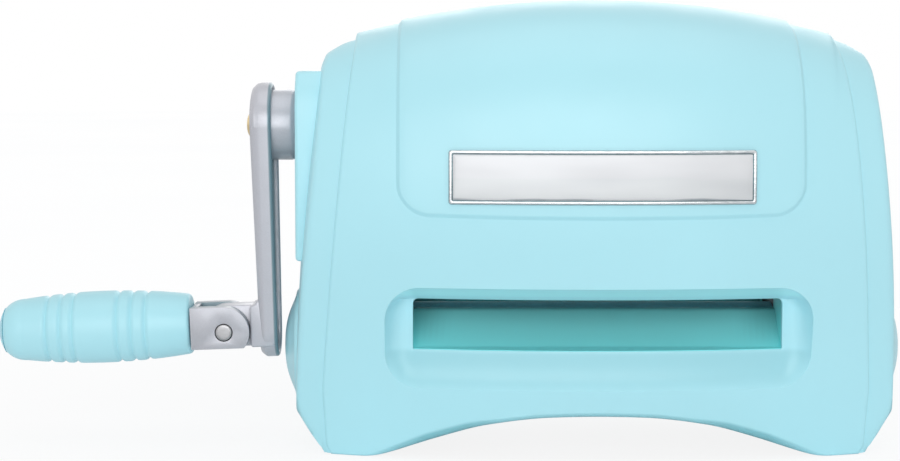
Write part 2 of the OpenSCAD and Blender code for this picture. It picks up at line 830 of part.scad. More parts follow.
// Crank: shaft, hub and arm. The arm leans towards the body, so it has a frame of its own.
arm_face_x = arm_x + arm_t / 2;
cap_seat = 0.5;
stub_r = 3;
stub_l = 2;
flat_d = 8;
pin_z = throw_l + pin_drop;
module crank_shaft() {
    shoulder = boss_x + hub_gap;
    color(steel_color) translate([0, 0, crank_z]) mirror([1, 0, 0]) difference() {
        union() {
            rod_x(crank_ring_x - shaft_spare, shoulder, crank_d / 2);
            intersection() {
                rod_x(shoulder - 1, arm_face_x - cap_seat, crank_d / 2);
                translate([0, -flat_d / 2, -far / 2]) cube([far, flat_d, far]);
            }
            rod_x(arm_face_x - cap_seat - 1, arm_face_x - cap_seat + stub_l, stub_r);
        }
        retaining_ring(crank_ring_x, crank_d / 2);
        key(crank_d / 2);
    }
}
module crank_retaining_ring() {
    color("gray") translate([0, 0, crank_z]) mirror([1, 0, 0]) retaining_ring(crank_ring_x, crank_d / 2);
}
module arm_frame() {
    translate([-arm_x, 0, crank_z]) rotate([0, -arm_lean, 0]) children();
}
module across_y(w) {
    rotate([90, 0, 0]) linear_extrude(w, center = true) children();
}
module arm_outline() {
    s = (arm_top_r - arm_low_r) / pin_z;
    c = sqrt(1 - s * s);
    circle(arm_top_r);
    translate([0, -pin_z]) circle(arm_low_r);
    polygon([[arm_top_r * c, -arm_top_r * s], [arm_low_r * c, -pin_z - arm_low_r * s],
        [-arm_low_r * c, -pin_z - arm_low_r * s], [-arm_top_r * c, -arm_top_r * s]]);
}
module channel_outline() {
    z0 = hub_d / 2 + 4;
    z1 = pin_z - 12;
    w0 = arm_top_r - (arm_top_r - arm_low_r) * z0 / pin_z - channel_wall;
    w1 = arm_top_r - (arm_top_r - arm_low_r) * z1 / pin_z - channel_wall;
    polygon([[-w0, -z0], [-w1, -z1], [w1, -z1], [w0, -z0]]);
}
hinge_gap = 0.4;
block_w = fork_w - 1;
module crank_arm() {
    block_x = pin_x - fork_r - hinge_gap;
    color(grey_color) difference() {
        union() {
            translate([0, 0, crank_z]) rod_x(-arm_x, -boss_x - hub_gap, hub_d / 2);
            arm_frame() {
                along_x(-arm_t / 2, arm_t / 2) arm_outline();
                translate([-block_x, -block_w / 2, -pin_z - fork_under])
                    cube([block_x, block_w, fork_under + fork_r]);
                across_y(tongue_w) intersection() {
                    union() {
                        translate([-pin_x, -pin_z]) circle(tongue_r);
                        translate([-pin_x, -pin_z - fork_under]) square([pin_x, fork_under + tongue_r]);
                    }
                    translate([-pin_x - tongue_r, -pin_z - fork_under])
                        square([pin_x + tongue_r, fork_under + tongue_r]);
                }
            }
        }
        arm_frame() {
            along_x(arm_t / 2 - channel_h, arm_t) channel_outline();
            translate([-pin_x, 0, -pin_z]) rod_y(-far / 2, far / 2, pin_d / 2);
        }
        translate([0, 0, crank_z]) {
            rod_x(-far, -arm_face_x + cap_seat, cap_d / 2 + 0.3);
            intersection() {
                rod_x(-far, -boss_x, crank_d / 2);
                translate([-2 * far, -flat_d / 2, -far / 2]) cube([2 * far, flat_d, far]);
            }
        }
    }
}
module crank_cap_nut() {
    rim_h = cap_seat + 1.2;
    color(brass_color) translate([-arm_face_x + cap_seat, 0, crank_z]) rotate([0, -90, 0]) difference() {
        union() {
            cylinder(d = cap_d, h = rim_h);
            translate([0, 0, rim_h]) cylinder(d1 = cap_d, d2 = cap_d - 4, h = cap_seat + cap_h - rim_h);
        }
        translate([0, 0, -1]) cylinder(r = stub_r, h = stub_l + 1);
    }
}
pin_proud = 0.3;
module hinge_pin() {
    color(steel_color) arm_frame() translate([-pin_x, 0, -pin_z])
        rod_y(-fork_w / 2 - pin_proud, fork_w / 2 + pin_proud, pin_d / 2);
}

// Folding grip: a fork on the hinge pin, a spindle, and a sleeve that turns on it
root_x = pin_x + fork_l;
sleeve_x = root_x + grip_gap;
tip_l = 3.4;
module grip_fork() {
    color(grey_color) arm_frame() difference() {
        across_y(fork_w) intersection() {
            union() {
                translate([-pin_x, -pin_z]) circle(fork_r);
                translate([-root_x, -pin_z - fork_under]) square([fork_l, fork_under + fork_r]);
            }
            translate([-root_x, -pin_z - fork_under]) square([fork_l + fork_r + 1, fork_under + fork_r]);
        }
        translate([-root_x + root_t, -tongue_w / 2 - tongue_gap, -pin_z - fork_under - 1])
            cube([fork_l + fork_r, tongue_w + 2 * tongue_gap, fork_under + fork_r + 2]);
        translate([-pin_x, 0, -pin_z]) rod_y(-fork_w, fork_w, pin_d / 2 + run_clear);
        translate([0, 0, -throw_l]) rod_x(-root_x - 1, -root_x + root_t + 1, stub_r);
    }
}
cap_plug = 2;
head_x = sleeve_x + grip_l - tip_l - cap_plug - 0.5;
module grip_spindle() {
    color(steel_color) arm_frame() translate([0, 0, -throw_l]) {
        rod_x(-root_x - 1, -root_x + root_t, stub_r);
        rod_x(-head_x, -root_x, spindle_d / 2);
        rod_x(-head_x, -head_x + spindle_head_h, spindle_head_d / 2);
    }
}
barrel_mid = 38.6;
barrel_fall = 2.1;
barrel_reach = 33.6;
dome_l = 12;
edge_l = 1.8;
function barrel_r(s) = grip_d / 2 - barrel_fall * pow((s - barrel_mid) / barrel_reach, 2);
function dome_r(s) = barrel_r(grip_l - dome_l)
    * pow(1 - pow((s - grip_l + dome_l) / dome_l, 2.2), 1 / 2.2);
barrel_steps = 10;
dome_steps = 5;
cap_steps = 3;
cap_flat = 0.94;
function sleeve_profile() = let (dome_end = (dome_l - tip_l) / dome_l) concat(
    [[0, 0], [barrel_r(0) - edge_l, 0], [barrel_r(edge_l), edge_l]],
    [for (i = [1:barrel_steps])
        let (s = edge_l + (grip_l - dome_l - edge_l) * i / barrel_steps)
        [barrel_r(s), s]],
    [for (i = [1:dome_steps])
        let (s = grip_l - dome_l + dome_l * dome_end * i / dome_steps)
        [dome_r(s), s]],
    [[0, grip_l - tip_l]]);
groove_at = [0.225, 0.298, 0.37, 0.6, 0.662, 0.735];
module along_grip() {
    arm_frame() translate([-sleeve_x, 0, -throw_l]) rotate([0, -90, 0]) children();
}
module grip_sleeve() {
    head_room = head_x - spindle_head_h - sleeve_x - 0.3;
    color(body_color) along_grip() difference() {
        rotate_extrude() polygon(sleeve_profile());
        for (u = groove_at) rotate_extrude()
            translate([barrel_r(u * grip_l) + groove_h * 0.3, u * grip_l]) circle(groove_h * 1.3);
        translate([0, 0, -1]) cylinder(d = spindle_d + 2 * run_clear, h = grip_l);
        translate([0, 0, head_room]) cylinder(d = spindle_head_d + 1, h = grip_l);
    }
}
module grip_end_cap() {
    color(body_color) along_grip() translate([0, 0, grip_l - tip_l]) {
        rotate_extrude() polygon(concat([[0, 0]],
            [for (i = [0:cap_steps])
                let (s = tip_l * cap_flat * i / cap_steps)
                [dome_r(grip_l - tip_l + s), s]],
            [[0, tip_l * cap_flat]]));
        translate([0, 0, -cap_plug]) cylinder(d = spindle_head_d + 1, h = cap_plug + 0.5);
    }
}

// Moves the body's middle so that the whole machine's middle lies over the origin
crank_reach = arm_x + (sleeve_x + grip_l) * cos(arm_lean) - throw_l * sin(arm_lean);
middle_x = (crank_reach - bulge_x) / 2;
module placed() {
    translate([middle_x, 0, 0]) children();
}

placed() front_shell();
placed() rear_shell();
placed() left_side_cover();
placed() right_side_cover();
placed() name_plate();
placed() front_feed_ramp();
placed() rear_feed_ramp();
placed() base_plate();
placed() rubber_feet();
placed() left_frame();
placed() right_frame();
placed() tie_rods();
placed() tie_rod_nuts();
placed() roller_bushes();
placed() crank_bushes();
placed() base_screws();
placed() frame_screws();
placed() shell_screws();
placed() cover_screws();
placed() upper_roller_tube();
placed() upper_roller_shaft();
placed() reduction_gear();
placed() upper_sync_gear();
placed() upper_gear_keys();
placed() upper_retaining_rings();
placed() lower_roller_tube();
placed() lower_roller_shaft();
placed() lower_sync_gear();
placed() lower_gear_key();
placed() lower_retaining_rings();
placed() crank_shaft();
placed() crank_pinion();
placed() pinion_key();
placed() crank_retaining_ring();
placed() crank_arm();
placed() crank_cap_nut();
placed() hinge_pin();
placed() grip_fork();
placed() grip_spindle();
placed() grip_sleeve();
placed() grip_end_cap();
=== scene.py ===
"""Hand-cranked die cutting machine: its shells, covers, slot, name plate, crank and folding grip."""
from math import cos, pi, radians, sin, sqrt

import bpy
import numpy as np
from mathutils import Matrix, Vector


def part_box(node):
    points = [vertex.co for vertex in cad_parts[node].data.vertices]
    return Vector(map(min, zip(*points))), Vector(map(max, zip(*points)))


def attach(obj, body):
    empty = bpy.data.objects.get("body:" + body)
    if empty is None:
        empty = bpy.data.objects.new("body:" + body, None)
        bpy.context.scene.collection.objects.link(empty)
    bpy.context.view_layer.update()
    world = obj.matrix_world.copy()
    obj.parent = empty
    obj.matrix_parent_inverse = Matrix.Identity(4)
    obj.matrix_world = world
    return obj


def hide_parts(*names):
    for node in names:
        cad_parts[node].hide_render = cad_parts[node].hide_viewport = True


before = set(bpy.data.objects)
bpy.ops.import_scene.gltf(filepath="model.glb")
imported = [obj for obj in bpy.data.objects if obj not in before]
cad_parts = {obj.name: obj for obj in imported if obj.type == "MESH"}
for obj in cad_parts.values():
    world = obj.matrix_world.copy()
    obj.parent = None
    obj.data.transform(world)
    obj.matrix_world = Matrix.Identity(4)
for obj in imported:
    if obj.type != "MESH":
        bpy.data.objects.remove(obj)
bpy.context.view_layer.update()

bl_info = {
    "name": "Die Cutting Machine",
    "version": (1, 0, 0),
    "blender": (4, 5, 0),
    "location": "3D View > Sidebar > Die Cutter",
    "description": "Models the outer pieces of a hand-cranked die cutting machine over its frame",
    "category": "Object",
}

SHELL_LOW, SHELL_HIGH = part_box("front_shell")
MIDDLE_X = (SHELL_LOW[0] + SHELL_HIGH[0]) / 2


# Sizes and colours that a user would change

def length(name, text, value):
    """A size in metres."""
    return bpy.props.FloatProperty(name=name, description=text, default=value, unit="LENGTH", precision=4)


def colour(name, text, value):
    """A surface colour."""
    return bpy.props.FloatVectorProperty(name=name, description=text, default=value, subtype="COLOR",
                                         size=3, min=0, max=1)


class BodySizes(bpy.types.PropertyGroup):
    height: length("Height", "Height of the body above the table", 0.1955)
    belly_depth: length("Belly depth", "Half depth of the body at its belly", 0.069)
    belly_height: length("Belly height", "Height of the deepest place of the body", 0.112)
    foot_tuck: length("Foot tuck", "How far the foot lies inside the belly", 0.0175)
    bow_radius: length("Bow radius", "Radius of the front face seen from above", 0.42)
    crown_radius: length("Crown radius", "Radius of the arched top seen from the front", 0.423)
    wall: length("Wall", "Wall of the shells", 0.003)
    rim_lift: length("Rim lift", "Lift of the shell's rim above the table", 0.0002)
    rim_round: length("Rim round", "Radius of the lower rim at the feet", 0.0010)
    arch_round: length("Arch round", "Radius of the rim on the arch's slopes", 0.0042)
    seam_round: length("Seam round", "Radius of the shells' edges at the side covers", 0.0016)
    arch_width: length("Arch width", "Width of the arch under the body", 0.192)
    arch_height: length("Arch height", "Height of the arch under the body", 0.0192)
    foot_half: length("Foot", "Half width across the feet", 0.1140)
    seam_low: length("Low seam", "Half width at the side covers' seams, low on the body", 0.1177)
    seam_lean: length("Seam lean", "How much nearer the middle the seams lie at the shoulder", 0.0140)
    seam_low_height: length("Seam start", "Height at which the seams start to lean in", 0.028)
    seam_top_height: length("Seam end", "Height of the seams' upper end", 0.172)


class BandSizes(bpy.types.PropertyGroup):
    half_width: length("Half width", "Half width of the raised band", 0.085)
    rise: length("Rise", "Rise of the band over the shell", 0.0014)
    edge: length("Edge", "Width of the band's soft edge", 0.0023)
    low: length("Lower edge", "Height of the band's lower edge in the middle", 0.1036)
    sag: length("Sag", "Rise of the lower edge towards its corners", 0.0014)
    corner: length("Corner", "Radius of the band's lower corners", 0.0145)


class SlotSizes(bpy.types.PropertyGroup):
    half_width: length("Half width", "Half width of the plate slot", 0.0782)
    low: length("Lower lip", "Height of the slot's lower lip", 0.0473)
    high: length("Upper lip", "Height of the slot's upper lip", 0.0689)
    corner: length("Corner", "Radius of the slot's upper corners", 0.0024)
    lip_round: length("Lip round", "Radius of the slot's rounded lips", 0.0004)
    lip_back: length("Lip depth", "Depth of the slot's lips behind the belly", 0.019)
    side: length("Side border", "Border of the recess beside the slot", 0.0118)
    below: length("Lower border", "Border of the recess below the slot", 0.0163)
    above: length("Upper border", "Border of the recess above the slot", 0.0061)
    recess_corner: length("Recess corner", "Radius of the recess's corners", 0.015)


class CoverSizes(bpy.types.PropertyGroup):
    half_width: length("Half width", "Half width across the covers", 0.1303)
    lean: length("Lean", "How much nearer the middle a cover lies at its shoulder", 0.0118)
    shoulder: length("Shoulder", "Height of the cover's shoulder", 0.1668)
    low: length("Low", "Height at which the side slants in to the foot", 0.0185)
    bow_radius: length("Bow radius", "Radius of the cover's side seen from above", 0.3)
    step: length("Step", "Depth of the covers below the shells", 0.0010)
    wall: length("Wall", "Wall of the covers", 0.0025)
    blend: length("Blend", "Blend between the cover's front and side", 0.0045)
    boss_x: length("Boss", "Distance of the crank boss's face from the middle", 0.1283)
    boss_half: length("Boss half depth", "Half depth of the crank boss", 0.037)
    boss_low: length("Boss bottom", "Height of the crank boss's lower edge", 0.084)
    boss_high: length("Boss top", "Height of the crank boss's upper edge", 0.1647)
    boss_round: length("Boss round", "Radius of the boss's edges", 0.0016)
    bulge_radius: length("Bulge radius", "Radius of the round bulge", 0.024)
    bulge_height: length("Bulge height", "Height of the bulge's middle", 0.0435)
    bulge_out: length("Bulge reach", "How far the bulge stands out of the cover", 0.0053)


class PlateSizes(bpy.types.PropertyGroup):
    half_width: length("Half width", "Half width of the name plate", 0.0630)
    half_height: length("Half height", "Half height of the name plate", 0.0111)
    height: length("Height", "Height of the plate's middle", 0.1215)
    thickness: length("Thickness", "Thickness of the name plate", 0.0014)
    border: length("Border", "Width of the bevelled border", 0.0016)
    corner: length("Corner", "Radius of the plate's corners", 0.0012)


class CrankSizes(bpy.types.PropertyGroup):
    axis_height: length("Axis", "Height of the crank axis", 0.141)
    arm_x: length("Arm", "Distance of the arm's middle plane from the body's middle", 0.1457)
    arm_half: length("Half thickness", "Half thickness of the arm", 0.004)
    arm_top: length("Upper end", "Radius of the arm's upper end", 0.0185)
    arm_low: length("Lower end", "Radius of the arm's lower end", 0.013)
    throw: length("Throw", "Distance from the crank axis to the grip axis", 0.0873)
    lean: bpy.props.FloatProperty(name="Lean", description="Lean of the arm towards the body",
                                  default=radians(2.1), subtype="ANGLE")
    channel: length("Channel", "Depth of the channel in the arm's inner side", 0.0045)
    hub_radius: length("Hub", "Radius of the hub", 0.0155)
    hub_gap: length("Hub gap", "Gap between the hub and the boss", 0.0007)
    cap_radius: length("Cap nut", "Radius of the cap nut", 0.0065)
    cap_height: length("Cap height", "Height of the cap nut over the arm", 0.0038)
    eye_shift: length("Eye shift", "How much nearer the body the arm's eye lies than its lean gives", 0.0016)
    pin_x: length("Pin", "Distance of the hinge pin from the arm's middle plane", 0.0195)
    pin_drop: length("Pin drop", "Drop of the hinge pin below the grip axis", 0.0029)
    pin_radius: length("Pin radius", "Radius of the hinge pin", 0.0036)
    fork_radius: length("Fork radius", "Radius of the fork's rounded end", 0.0112)
    fork_half: length("Fork half width", "Half width of the fork", 0.0135)
    fork_length: length("Fork length", "Distance of the fork's root face from the pin", 0.0146)
    fork_under: length("Fork underside", "Flat underside of the fork below the pin", 0.0072)
    fork_root: length("Fork root", "Thickness of the fork's root", 0.0029)
    tongue_half: length("Tongue", "Half width of the arm's tongue", 0.0065)
    tongue_radius: length("Tongue radius", "Radius of the tongue's end", 0.011)


class GripSizes(bpy.types.PropertyGroup):
    length: length("Length", "Length of the grip", 0.0858)
    radius: length("Radius", "Largest radius of the grip", 0.016)
    gap: length("Gap", "Gap between the fork and the grip", 0.0006)
    groove: length("Groove", "Depth of the ring grooves", 0.0010)
    groove_width: length("Groove width", "Half width of a ring groove", 0.0009)
    dome: length("Dome", "Length of the domed end", 0.012)
    tip: length("Tip", "Length of the end cap", 0.0034)


class Finishes(bpy.types.PropertyGroup):
    shell: colour("Shell", "Moulded plastic of the shells, covers and grip", (0.455, 0.825, 0.915))
    ramp: colour("Ramp", "Plastic of the feed ramps", (0.29, 0.98, 1.0))
    arm: colour("Arm", "Paint of the crank arm and fork", (0.50, 0.505, 0.55))
    brass: colour("Brass", "Cap nut", (0.80, 0.62, 0.33))
    floor: colour("Floor", "Floor and backdrop", (0.93, 0.94, 0.95))


# Small helpers

def start_fresh():
    """Leave nothing selected, so that the next operator works only on what it adds."""
    if bpy.context.mode != "OBJECT":
        bpy.ops.object.mode_set(mode="OBJECT")
    bpy.ops.object.select_all(action="DESELECT")


def pick(piece):
    """Select one piece alone and make it active."""
    start_fresh()
    piece.select_set(True)
    bpy.context.view_layer.objects.active = piece


def in_edit(piece):
    """Open a piece in edit mode with all of it selected."""
    pick(piece)
    bpy.ops.object.mode_set(mode="EDIT")
    bpy.ops.mesh.select_all(action="SELECT")


def close_edit():
    """Leave edit mode."""
    bpy.ops.object.mode_set(mode="OBJECT")


def tidy_faces(piece, distance=0.00001, fill=False):
    """Merge doubled points, fill what is left open where that is asked for, and turn the faces outwards."""
    in_edit(piece)
    bpy.ops.mesh.remove_doubles(threshold=distance)
    if fill:
        bpy.ops.mesh.fill_holes(sides=0)
    bpy.ops.mesh.normals_make_consistent(inside=False)
    close_edit()


def lay_grid(name, points):
    """Add a grid and lay its points, given as rows x columns x 3, on a surface."""
    start_fresh()
    rows, columns = points.shape[:2]
    bpy.ops.mesh.primitive_grid_add(x_subdivisions=columns - 1, y_subdivisions=rows - 1, size=1)
    sheet = bpy.context.object
    sheet.name = name
    sheet.data.vertices.foreach_set("co", np.ascontiguousarray(points, dtype=np.float32).reshape(-1))
    sheet.data.update()
    return sheet


def around(loops):
    """Close each loop on its first point."""
    return np.concatenate([loops, loops[:, :1]], axis=1)


def lathe(name, profile, count=96):
    """Turn (radius, along) points about the local Z axis, closed where the radius is zero."""
    turns = np.linspace(0, 2 * pi, count + 1)
    rows = [[(r * cos(t), r * sin(t), z) for t in turns] for r, z in profile]
    piece = lay_grid(name, np.array(rows))
    tidy_faces(piece)
    return piece


def prism(name, outline, start, end):
    """Fill an outline of (x, z) points at y = start and extrude it to y = end."""
    start_fresh()
    bpy.ops.mesh.primitive_circle_add(vertices=len(outline), radius=1, fill_type="NGON")
    piece = bpy.context.object
    piece.name = name
    for vertex, (x, z) in zip(piece.data.vertices, outline):
        vertex.co = (x, start, z)
    in_edit(piece)
    bpy.ops.mesh.extrude_region_move(TRANSFORM_OT_translate={"value": (0, end - start, 0)})
    close_edit()
    tidy_faces(piece)
    return piece


def block(name, low, high):
    """Add a box between two corners."""
    start_fresh()
    middle = [(a + b) / 2 for a, b in zip(low, high)]
    bpy.ops.mesh.primitive_cube_add(size=1, location=middle, scale=[b - a for a, b in zip(low, high)])
    piece = bpy.context.object
    piece.name = name
    bpy.ops.object.transform_apply(location=True, rotation=True, scale=True)
    return piece


def apply_modifier(piece, kind, **settings):
    """Add a modifier to a piece, set it and apply it."""
    pick(piece)
    modifier = piece.modifiers.new(kind.title(), kind)
    for key, value in settings.items():
        setattr(modifier, key, value)
    bpy.ops.object.modifier_apply(modifier=modifier.name)


def soften(piece, width, segments=3, angle=30):
    """Round the sharp edges of a piece."""
    apply_modifier(piece, "BEVEL", width=width, segments=segments, limit_method="ANGLE",
                   angle_limit=radians(angle))


def thicken(piece, wall):
    """Give an open shell its wall, inwards."""
    apply_modifier(piece, "SOLIDIFY", thickness=wall, offset=-1)


def cut(piece, tool):
    """Cut a tool out of a piece and delete the tool."""
    apply_modifier(piece, "BOOLEAN", operation="DIFFERENCE", object=tool, solver="EXACT")
    bpy.data.objects.remove(tool, do_unlink=True)


def drill(piece, radius, depth, place, turn, count):
    """Cut a round hole into a piece."""
    start_fresh()
    bpy.ops.mesh.primitive_cylinder_add(vertices=count, radius=radius, depth=depth, location=place, rotation=turn)
    cut(piece, bpy.context.object)


def join(piece, *others):
    """Join the others into a piece."""
    start_fresh()
    for each in (*others, piece):
        each.select_set(True)
    bpy.context.view_layer.objects.active = piece
    bpy.ops.object.join()
    return piece


def move_points(piece, rule):
    """Move all of a piece's points by a rule from an array of points to another."""
    points = np.empty(len(piece.data.vertices) * 3, dtype=np.float32)
    piece.data.vertices.foreach_get("co", points)
    piece.data.vertices.foreach_set("co", rule(points.reshape(-1, 3)).astype(np.float32).reshape(-1))
    piece.data.update()


def stand(piece, rule):
    """Stand a piece in its place by a rule from x, y, z to x, y, z, and turn its faces outwards."""
    move_points(piece, lambda points: np.stack(rule(*points.T), axis=-1))
    tidy_faces(piece)


def mark_points(piece, name, values):
    """Give each point of a piece a value that its finish reads."""
    mark = piece.data.attributes.new(name, "FLOAT", "POINT")
    mark.data.foreach_set("value", np.array(values, dtype=np.float32).reshape(-1))


def mirrored_copy(piece, name, axis):
    """Copy a piece and mirror the copy's mesh across the body's middle plane along one axis."""
    pick(piece)
    bpy.ops.object.duplicate(linked=False)
    copy = bpy.context.object
    copy.name = name
    flip = np.ones(3)
    flip[axis] = -1
    move_points(copy, lambda points: points * flip)
    in_edit(copy)
    bpy.ops.mesh.flip_normals()
    close_edit()
    return copy


def finish_piece(piece, body, material, slot, *nodes, angle=40):
    """Move a piece into the frame, shade it, give it its finish, hang it on its body and hide the nodes that it
    stands for.
    """
    move_points(piece, lambda points: points + np.array([MIDDLE_X, 0, 0]))
    pick(piece)
    bpy.ops.object.shade_smooth_by_angle(angle=radians(angle))
    piece.data.materials.clear()
    piece.data.materials.append(material)
    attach(piece, body)
    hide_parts(*nodes)


def measures(*keys):
    """The groups of sizes that a piece is built from."""
    return [getattr(bpy.context.scene, "die_" + key) for key in keys]


def smooth(u):
    """Ease from 0 to 1."""
    u = np.clip(u, 0, 1)
    return u * u * (3 - 2 * u)


def eased(values, window, mode="edge"):
    """Smooth a row of values with a window, its ends held or joined."""
    return np.convolve(np.pad(values, len(window) // 2, mode=mode), window / window.sum(), mode="valid")


# The body's surface

class Section:
    """The body's middle section, pushed out by a distance, as depth and height along its length."""

    front_power, top_power = 2.8, 2.5
    bottom = -0.012
    low_points, high_points = 140, 500

    def __init__(self, grow):
        body, = measures("body")
        low = np.linspace(self.bottom, body.belly_height, self.low_points)
        depth_low = body.belly_depth - body.foot_tuck * smooth(1 - low / body.belly_height)
        turn = np.linspace(0, pi / 2, self.high_points)[1:]
        depth_high = body.belly_depth * np.abs(np.cos(turn)) ** (2 / self.front_power)
        depth_high[-1] = 0
        high = body.belly_height + (body.height - body.belly_height) * np.sin(turn) ** (2 / self.top_power)
        depth = np.concatenate([depth_low, depth_high])
        height = np.concatenate([low, high])
        along_depth, along_height = np.gradient(depth), np.gradient(height)
        size = np.hypot(along_depth, along_height)
        self.depth = np.maximum(0, depth + grow * along_height / size)
        self.height = height - grow * along_depth / size
        steps = np.hypot(np.diff(self.depth), np.diff(self.height))
        self.along = np.concatenate([[0], np.cumsum(steps)])
        self.body = body
        self.bow = body.bow_radius - body.belly_depth

    def crown(self, x):
        """Height of the arched top over x."""
        return self.body.height - np.square(x) / (2 * self.body.crown_radius)

    def squeeze(self, x):
        """How much lower the body stands over x than in the middle, from its belly up."""
        belly = self.body.belly_height
        return (self.crown(x) - belly) / (self.body.height - belly)

    def raised(self, height, x):
        """Height on the body over x for a height on the middle section."""
        belly = self.body.belly_height
        return np.where(height > belly, belly + (height - belly) * self.squeeze(x), height)

    def lowered(self, height, x):
        """Height on the middle section for a height on the body over x."""
        belly = self.body.belly_height
        return np.where(height > belly, belly + (height - belly) / self.squeeze(x), height)

    def at_height(self, x, height):
        """Length along the section where the body over x has a height."""
        return np.interp(self.lowered(height, x), self.height, self.along)

    def top_end(self, x):
        """Length along the section where the front face over x meets the parting line."""
        depth = np.sqrt(self.bow ** 2 + np.square(x)) - self.bow
        belly = self.low_points - 1
        return np.interp(-depth, -self.depth[belly:], self.along[belly:])

    def point(self, x, along):
        """Place on the surface over x at a length along the section."""
        depth = np.interp(along, self.along, self.depth)
        height = self.raised(np.interp(along, self.along, self.height), x)
        return np.stack([x, self.bow - np.sqrt((self.bow + depth) ** 2 - np.square(x)), height], axis=-1)

    def normal(self, x, along, step=0.0004):
        """Outward direction of the surface."""
        across = self.point(x + step, along) - self.point(x - step, along)
        upwards = self.point(x, along + step) - self.point(x, along - step)
        direction = np.cross(across, upwards)
        return direction / np.linalg.norm(direction, axis=-1, keepdims=True)

    def lifted(self, x, along, lift):
        """Place over the surface, lifted along its normal."""
        return self.point(x, along) + self.normal(x, along) * np.asarray(lift)[..., None]


# The arch's rise and the share of its rounded rim, each from the middle outwards; the rim's share also sets how
# strong its painted shade is
ARCH_RISE = ((0, 0.13, 0.26, 0.39, 0.52, 0.65, 0.78, 0.91, 1),
             (1, 0.99, 0.96, 0.88, 0.755, 0.56, 0.35, 0.13, 0))
ARCH_RIM = ((0, 0.040, 0.055, 0.072, 0.086, 0.099),
            (0.5, 0.5, 0.95, 1, 0.6, 0))

# Points along the sides of the shell's loops, across half a corner, and how many loops each region has
BOTTOM, SIDE, TOP, CORNER = 112, 62, 92, 7
LIP_LOOPS, RECESS_LOOPS, FACE_LOOPS, RIM_LOOPS = 6, 30, 46, 5
SEAM_POWER = 1.1


def seam_x(height):
    """Half width at the side covers' seams."""
    body, = measures("body")
    share = np.clip((height - body.seam_low_height) / (body.seam_top_height - body.seam_low_height), 0, 1)
    return body.seam_low - body.seam_lean * share ** SEAM_POWER


def arch_height(x):
    """Height of the arch: a straight rise from each foot that bends into a flat crown."""
    body, = measures("body")
    return body.arch_height * np.interp(np.clip(np.abs(x) / (body.arch_width / 2), 0, 1), *ARCH_RISE)


def arch_share(x):
    """How much of the arch's rounded rim there is over x: most on the slopes, none at the feet."""
    return np.interp(np.abs(x), *ARCH_RIM)


def rounded_ring(half, low, high, radius, upper=None):
    """Points round a rounded rectangle, counter-clockwise from its lower left corner."""
    upper = radius if upper is None else upper
    corners, ring = [], []
    for side, z, start, r in ((1, low + radius, 270, radius), (1, high - upper, 0, upper),
                              (-1, high - upper, 90, upper), (-1, low + radius, 180, radius)):
        turn = np.radians(start + 90 * np.arange(2 * CORNER + 1) / (2 * CORNER))
        corners.append(np.stack([side * (half - r) + r * np.cos(turn), z + r * np.sin(turn)], axis=-1))
    for k, count in enumerate((BOTTOM, SIDE, TOP, SIDE)):
        leave, reach = corners[k - 1][CORNER:], corners[k][:CORNER + 1]
        share = np.linspace(0, 1, count - 2 * CORNER + 1)[:, None]
        straight = leave[-1] + (reach[0] - leave[-1]) * share
        ring.append(np.concatenate([leave[:-1], straight, reach[1:-1]]))
    return np.concatenate(ring)


def shell_outline(section):
    """The front shell's outline as (x, along) points, counter-clockwise from its lower left foot."""
    body, = measures("body")
    foot_top, foot_in = 0.004, 0.0014
    x = body.foot_half * np.linspace(-1, 1, BOTTOM + 1)[:-1]
    low = section.at_height(x, np.maximum(body.rim_lift, arch_height(x)))
    bottom = np.stack([x, eased(low, np.hanning(9)[1:-1])], axis=-1)
    start = section.at_height(body.foot_half, body.rim_lift)
    end = section.top_end(seam_x(body.height))
    along = np.linspace(start, end, SIDE + 1)[:-1]
    height = section.raised(np.interp(along, section.along, section.height), body.seam_low)
    foot = np.interp(height, [body.rim_lift, foot_top, body.seam_low_height],
                     [body.foot_half, body.seam_low - foot_in, body.seam_low])
    edge = np.where(height < body.seam_low_height, foot, seam_x(height))
    right = np.stack([edge, along], axis=-1)
    x = seam_x(body.height) * np.linspace(1, -1, TOP + 1)[:-1]
    top = np.stack([x, section.top_end(x)], axis=-1)
    left = np.stack([-edge[1:], along[1:]], axis=-1)[::-1]
    corner = np.array([[-seam_x(body.height), end]])
    return np.concatenate([bottom, right, top, corner, left])


def inset(outline, distance):
    """Move a closed outline inwards by a distance that may differ from point to point."""
    ahead = np.roll(outline, -1, axis=0) - outline
    behind = outline - np.roll(outline, 1, axis=0)
    ahead /= np.linalg.norm(ahead, axis=1, keepdims=True)
    behind /= np.linalg.norm(behind, axis=1, keepdims=True)
    direction = ahead + behind
    direction /= np.linalg.norm(direction, axis=1, keepdims=True)
    inwards = np.stack([-direction[:, 1], direction[:, 0]], axis=-1)
    sharpest = 0.6
    stretch = 1 / np.maximum(sharpest, np.abs((direction * ahead).sum(axis=1)))
    return outline + inwards * (distance * stretch)[:, None]


def spread(values):
    """Blend a value per side into a value per outline point, eased across the corners."""
    return eased(np.repeat(values, (BOTTOM, SIDE, TOP, SIDE)), np.ones(11), "wrap")


def recess_rise(place):
    """How far a recess point has risen from the floor, from its share of the way across each border."""
    slot, = measures("slot")
    side_power, floor_power = 3, 4.5
    aside = np.clip((np.abs(place[:, 0]) - slot.half_width) / slot.side, 0, 1)
    under = np.clip((slot.low - place[:, 1]) / slot.below, 0, 1)
    over = np.clip((place[:, 1] - slot.high) / slot.above, 0, 1)
    return 1 - (1 - aside ** side_power) * (1 - under ** floor_power) * (1 - over)


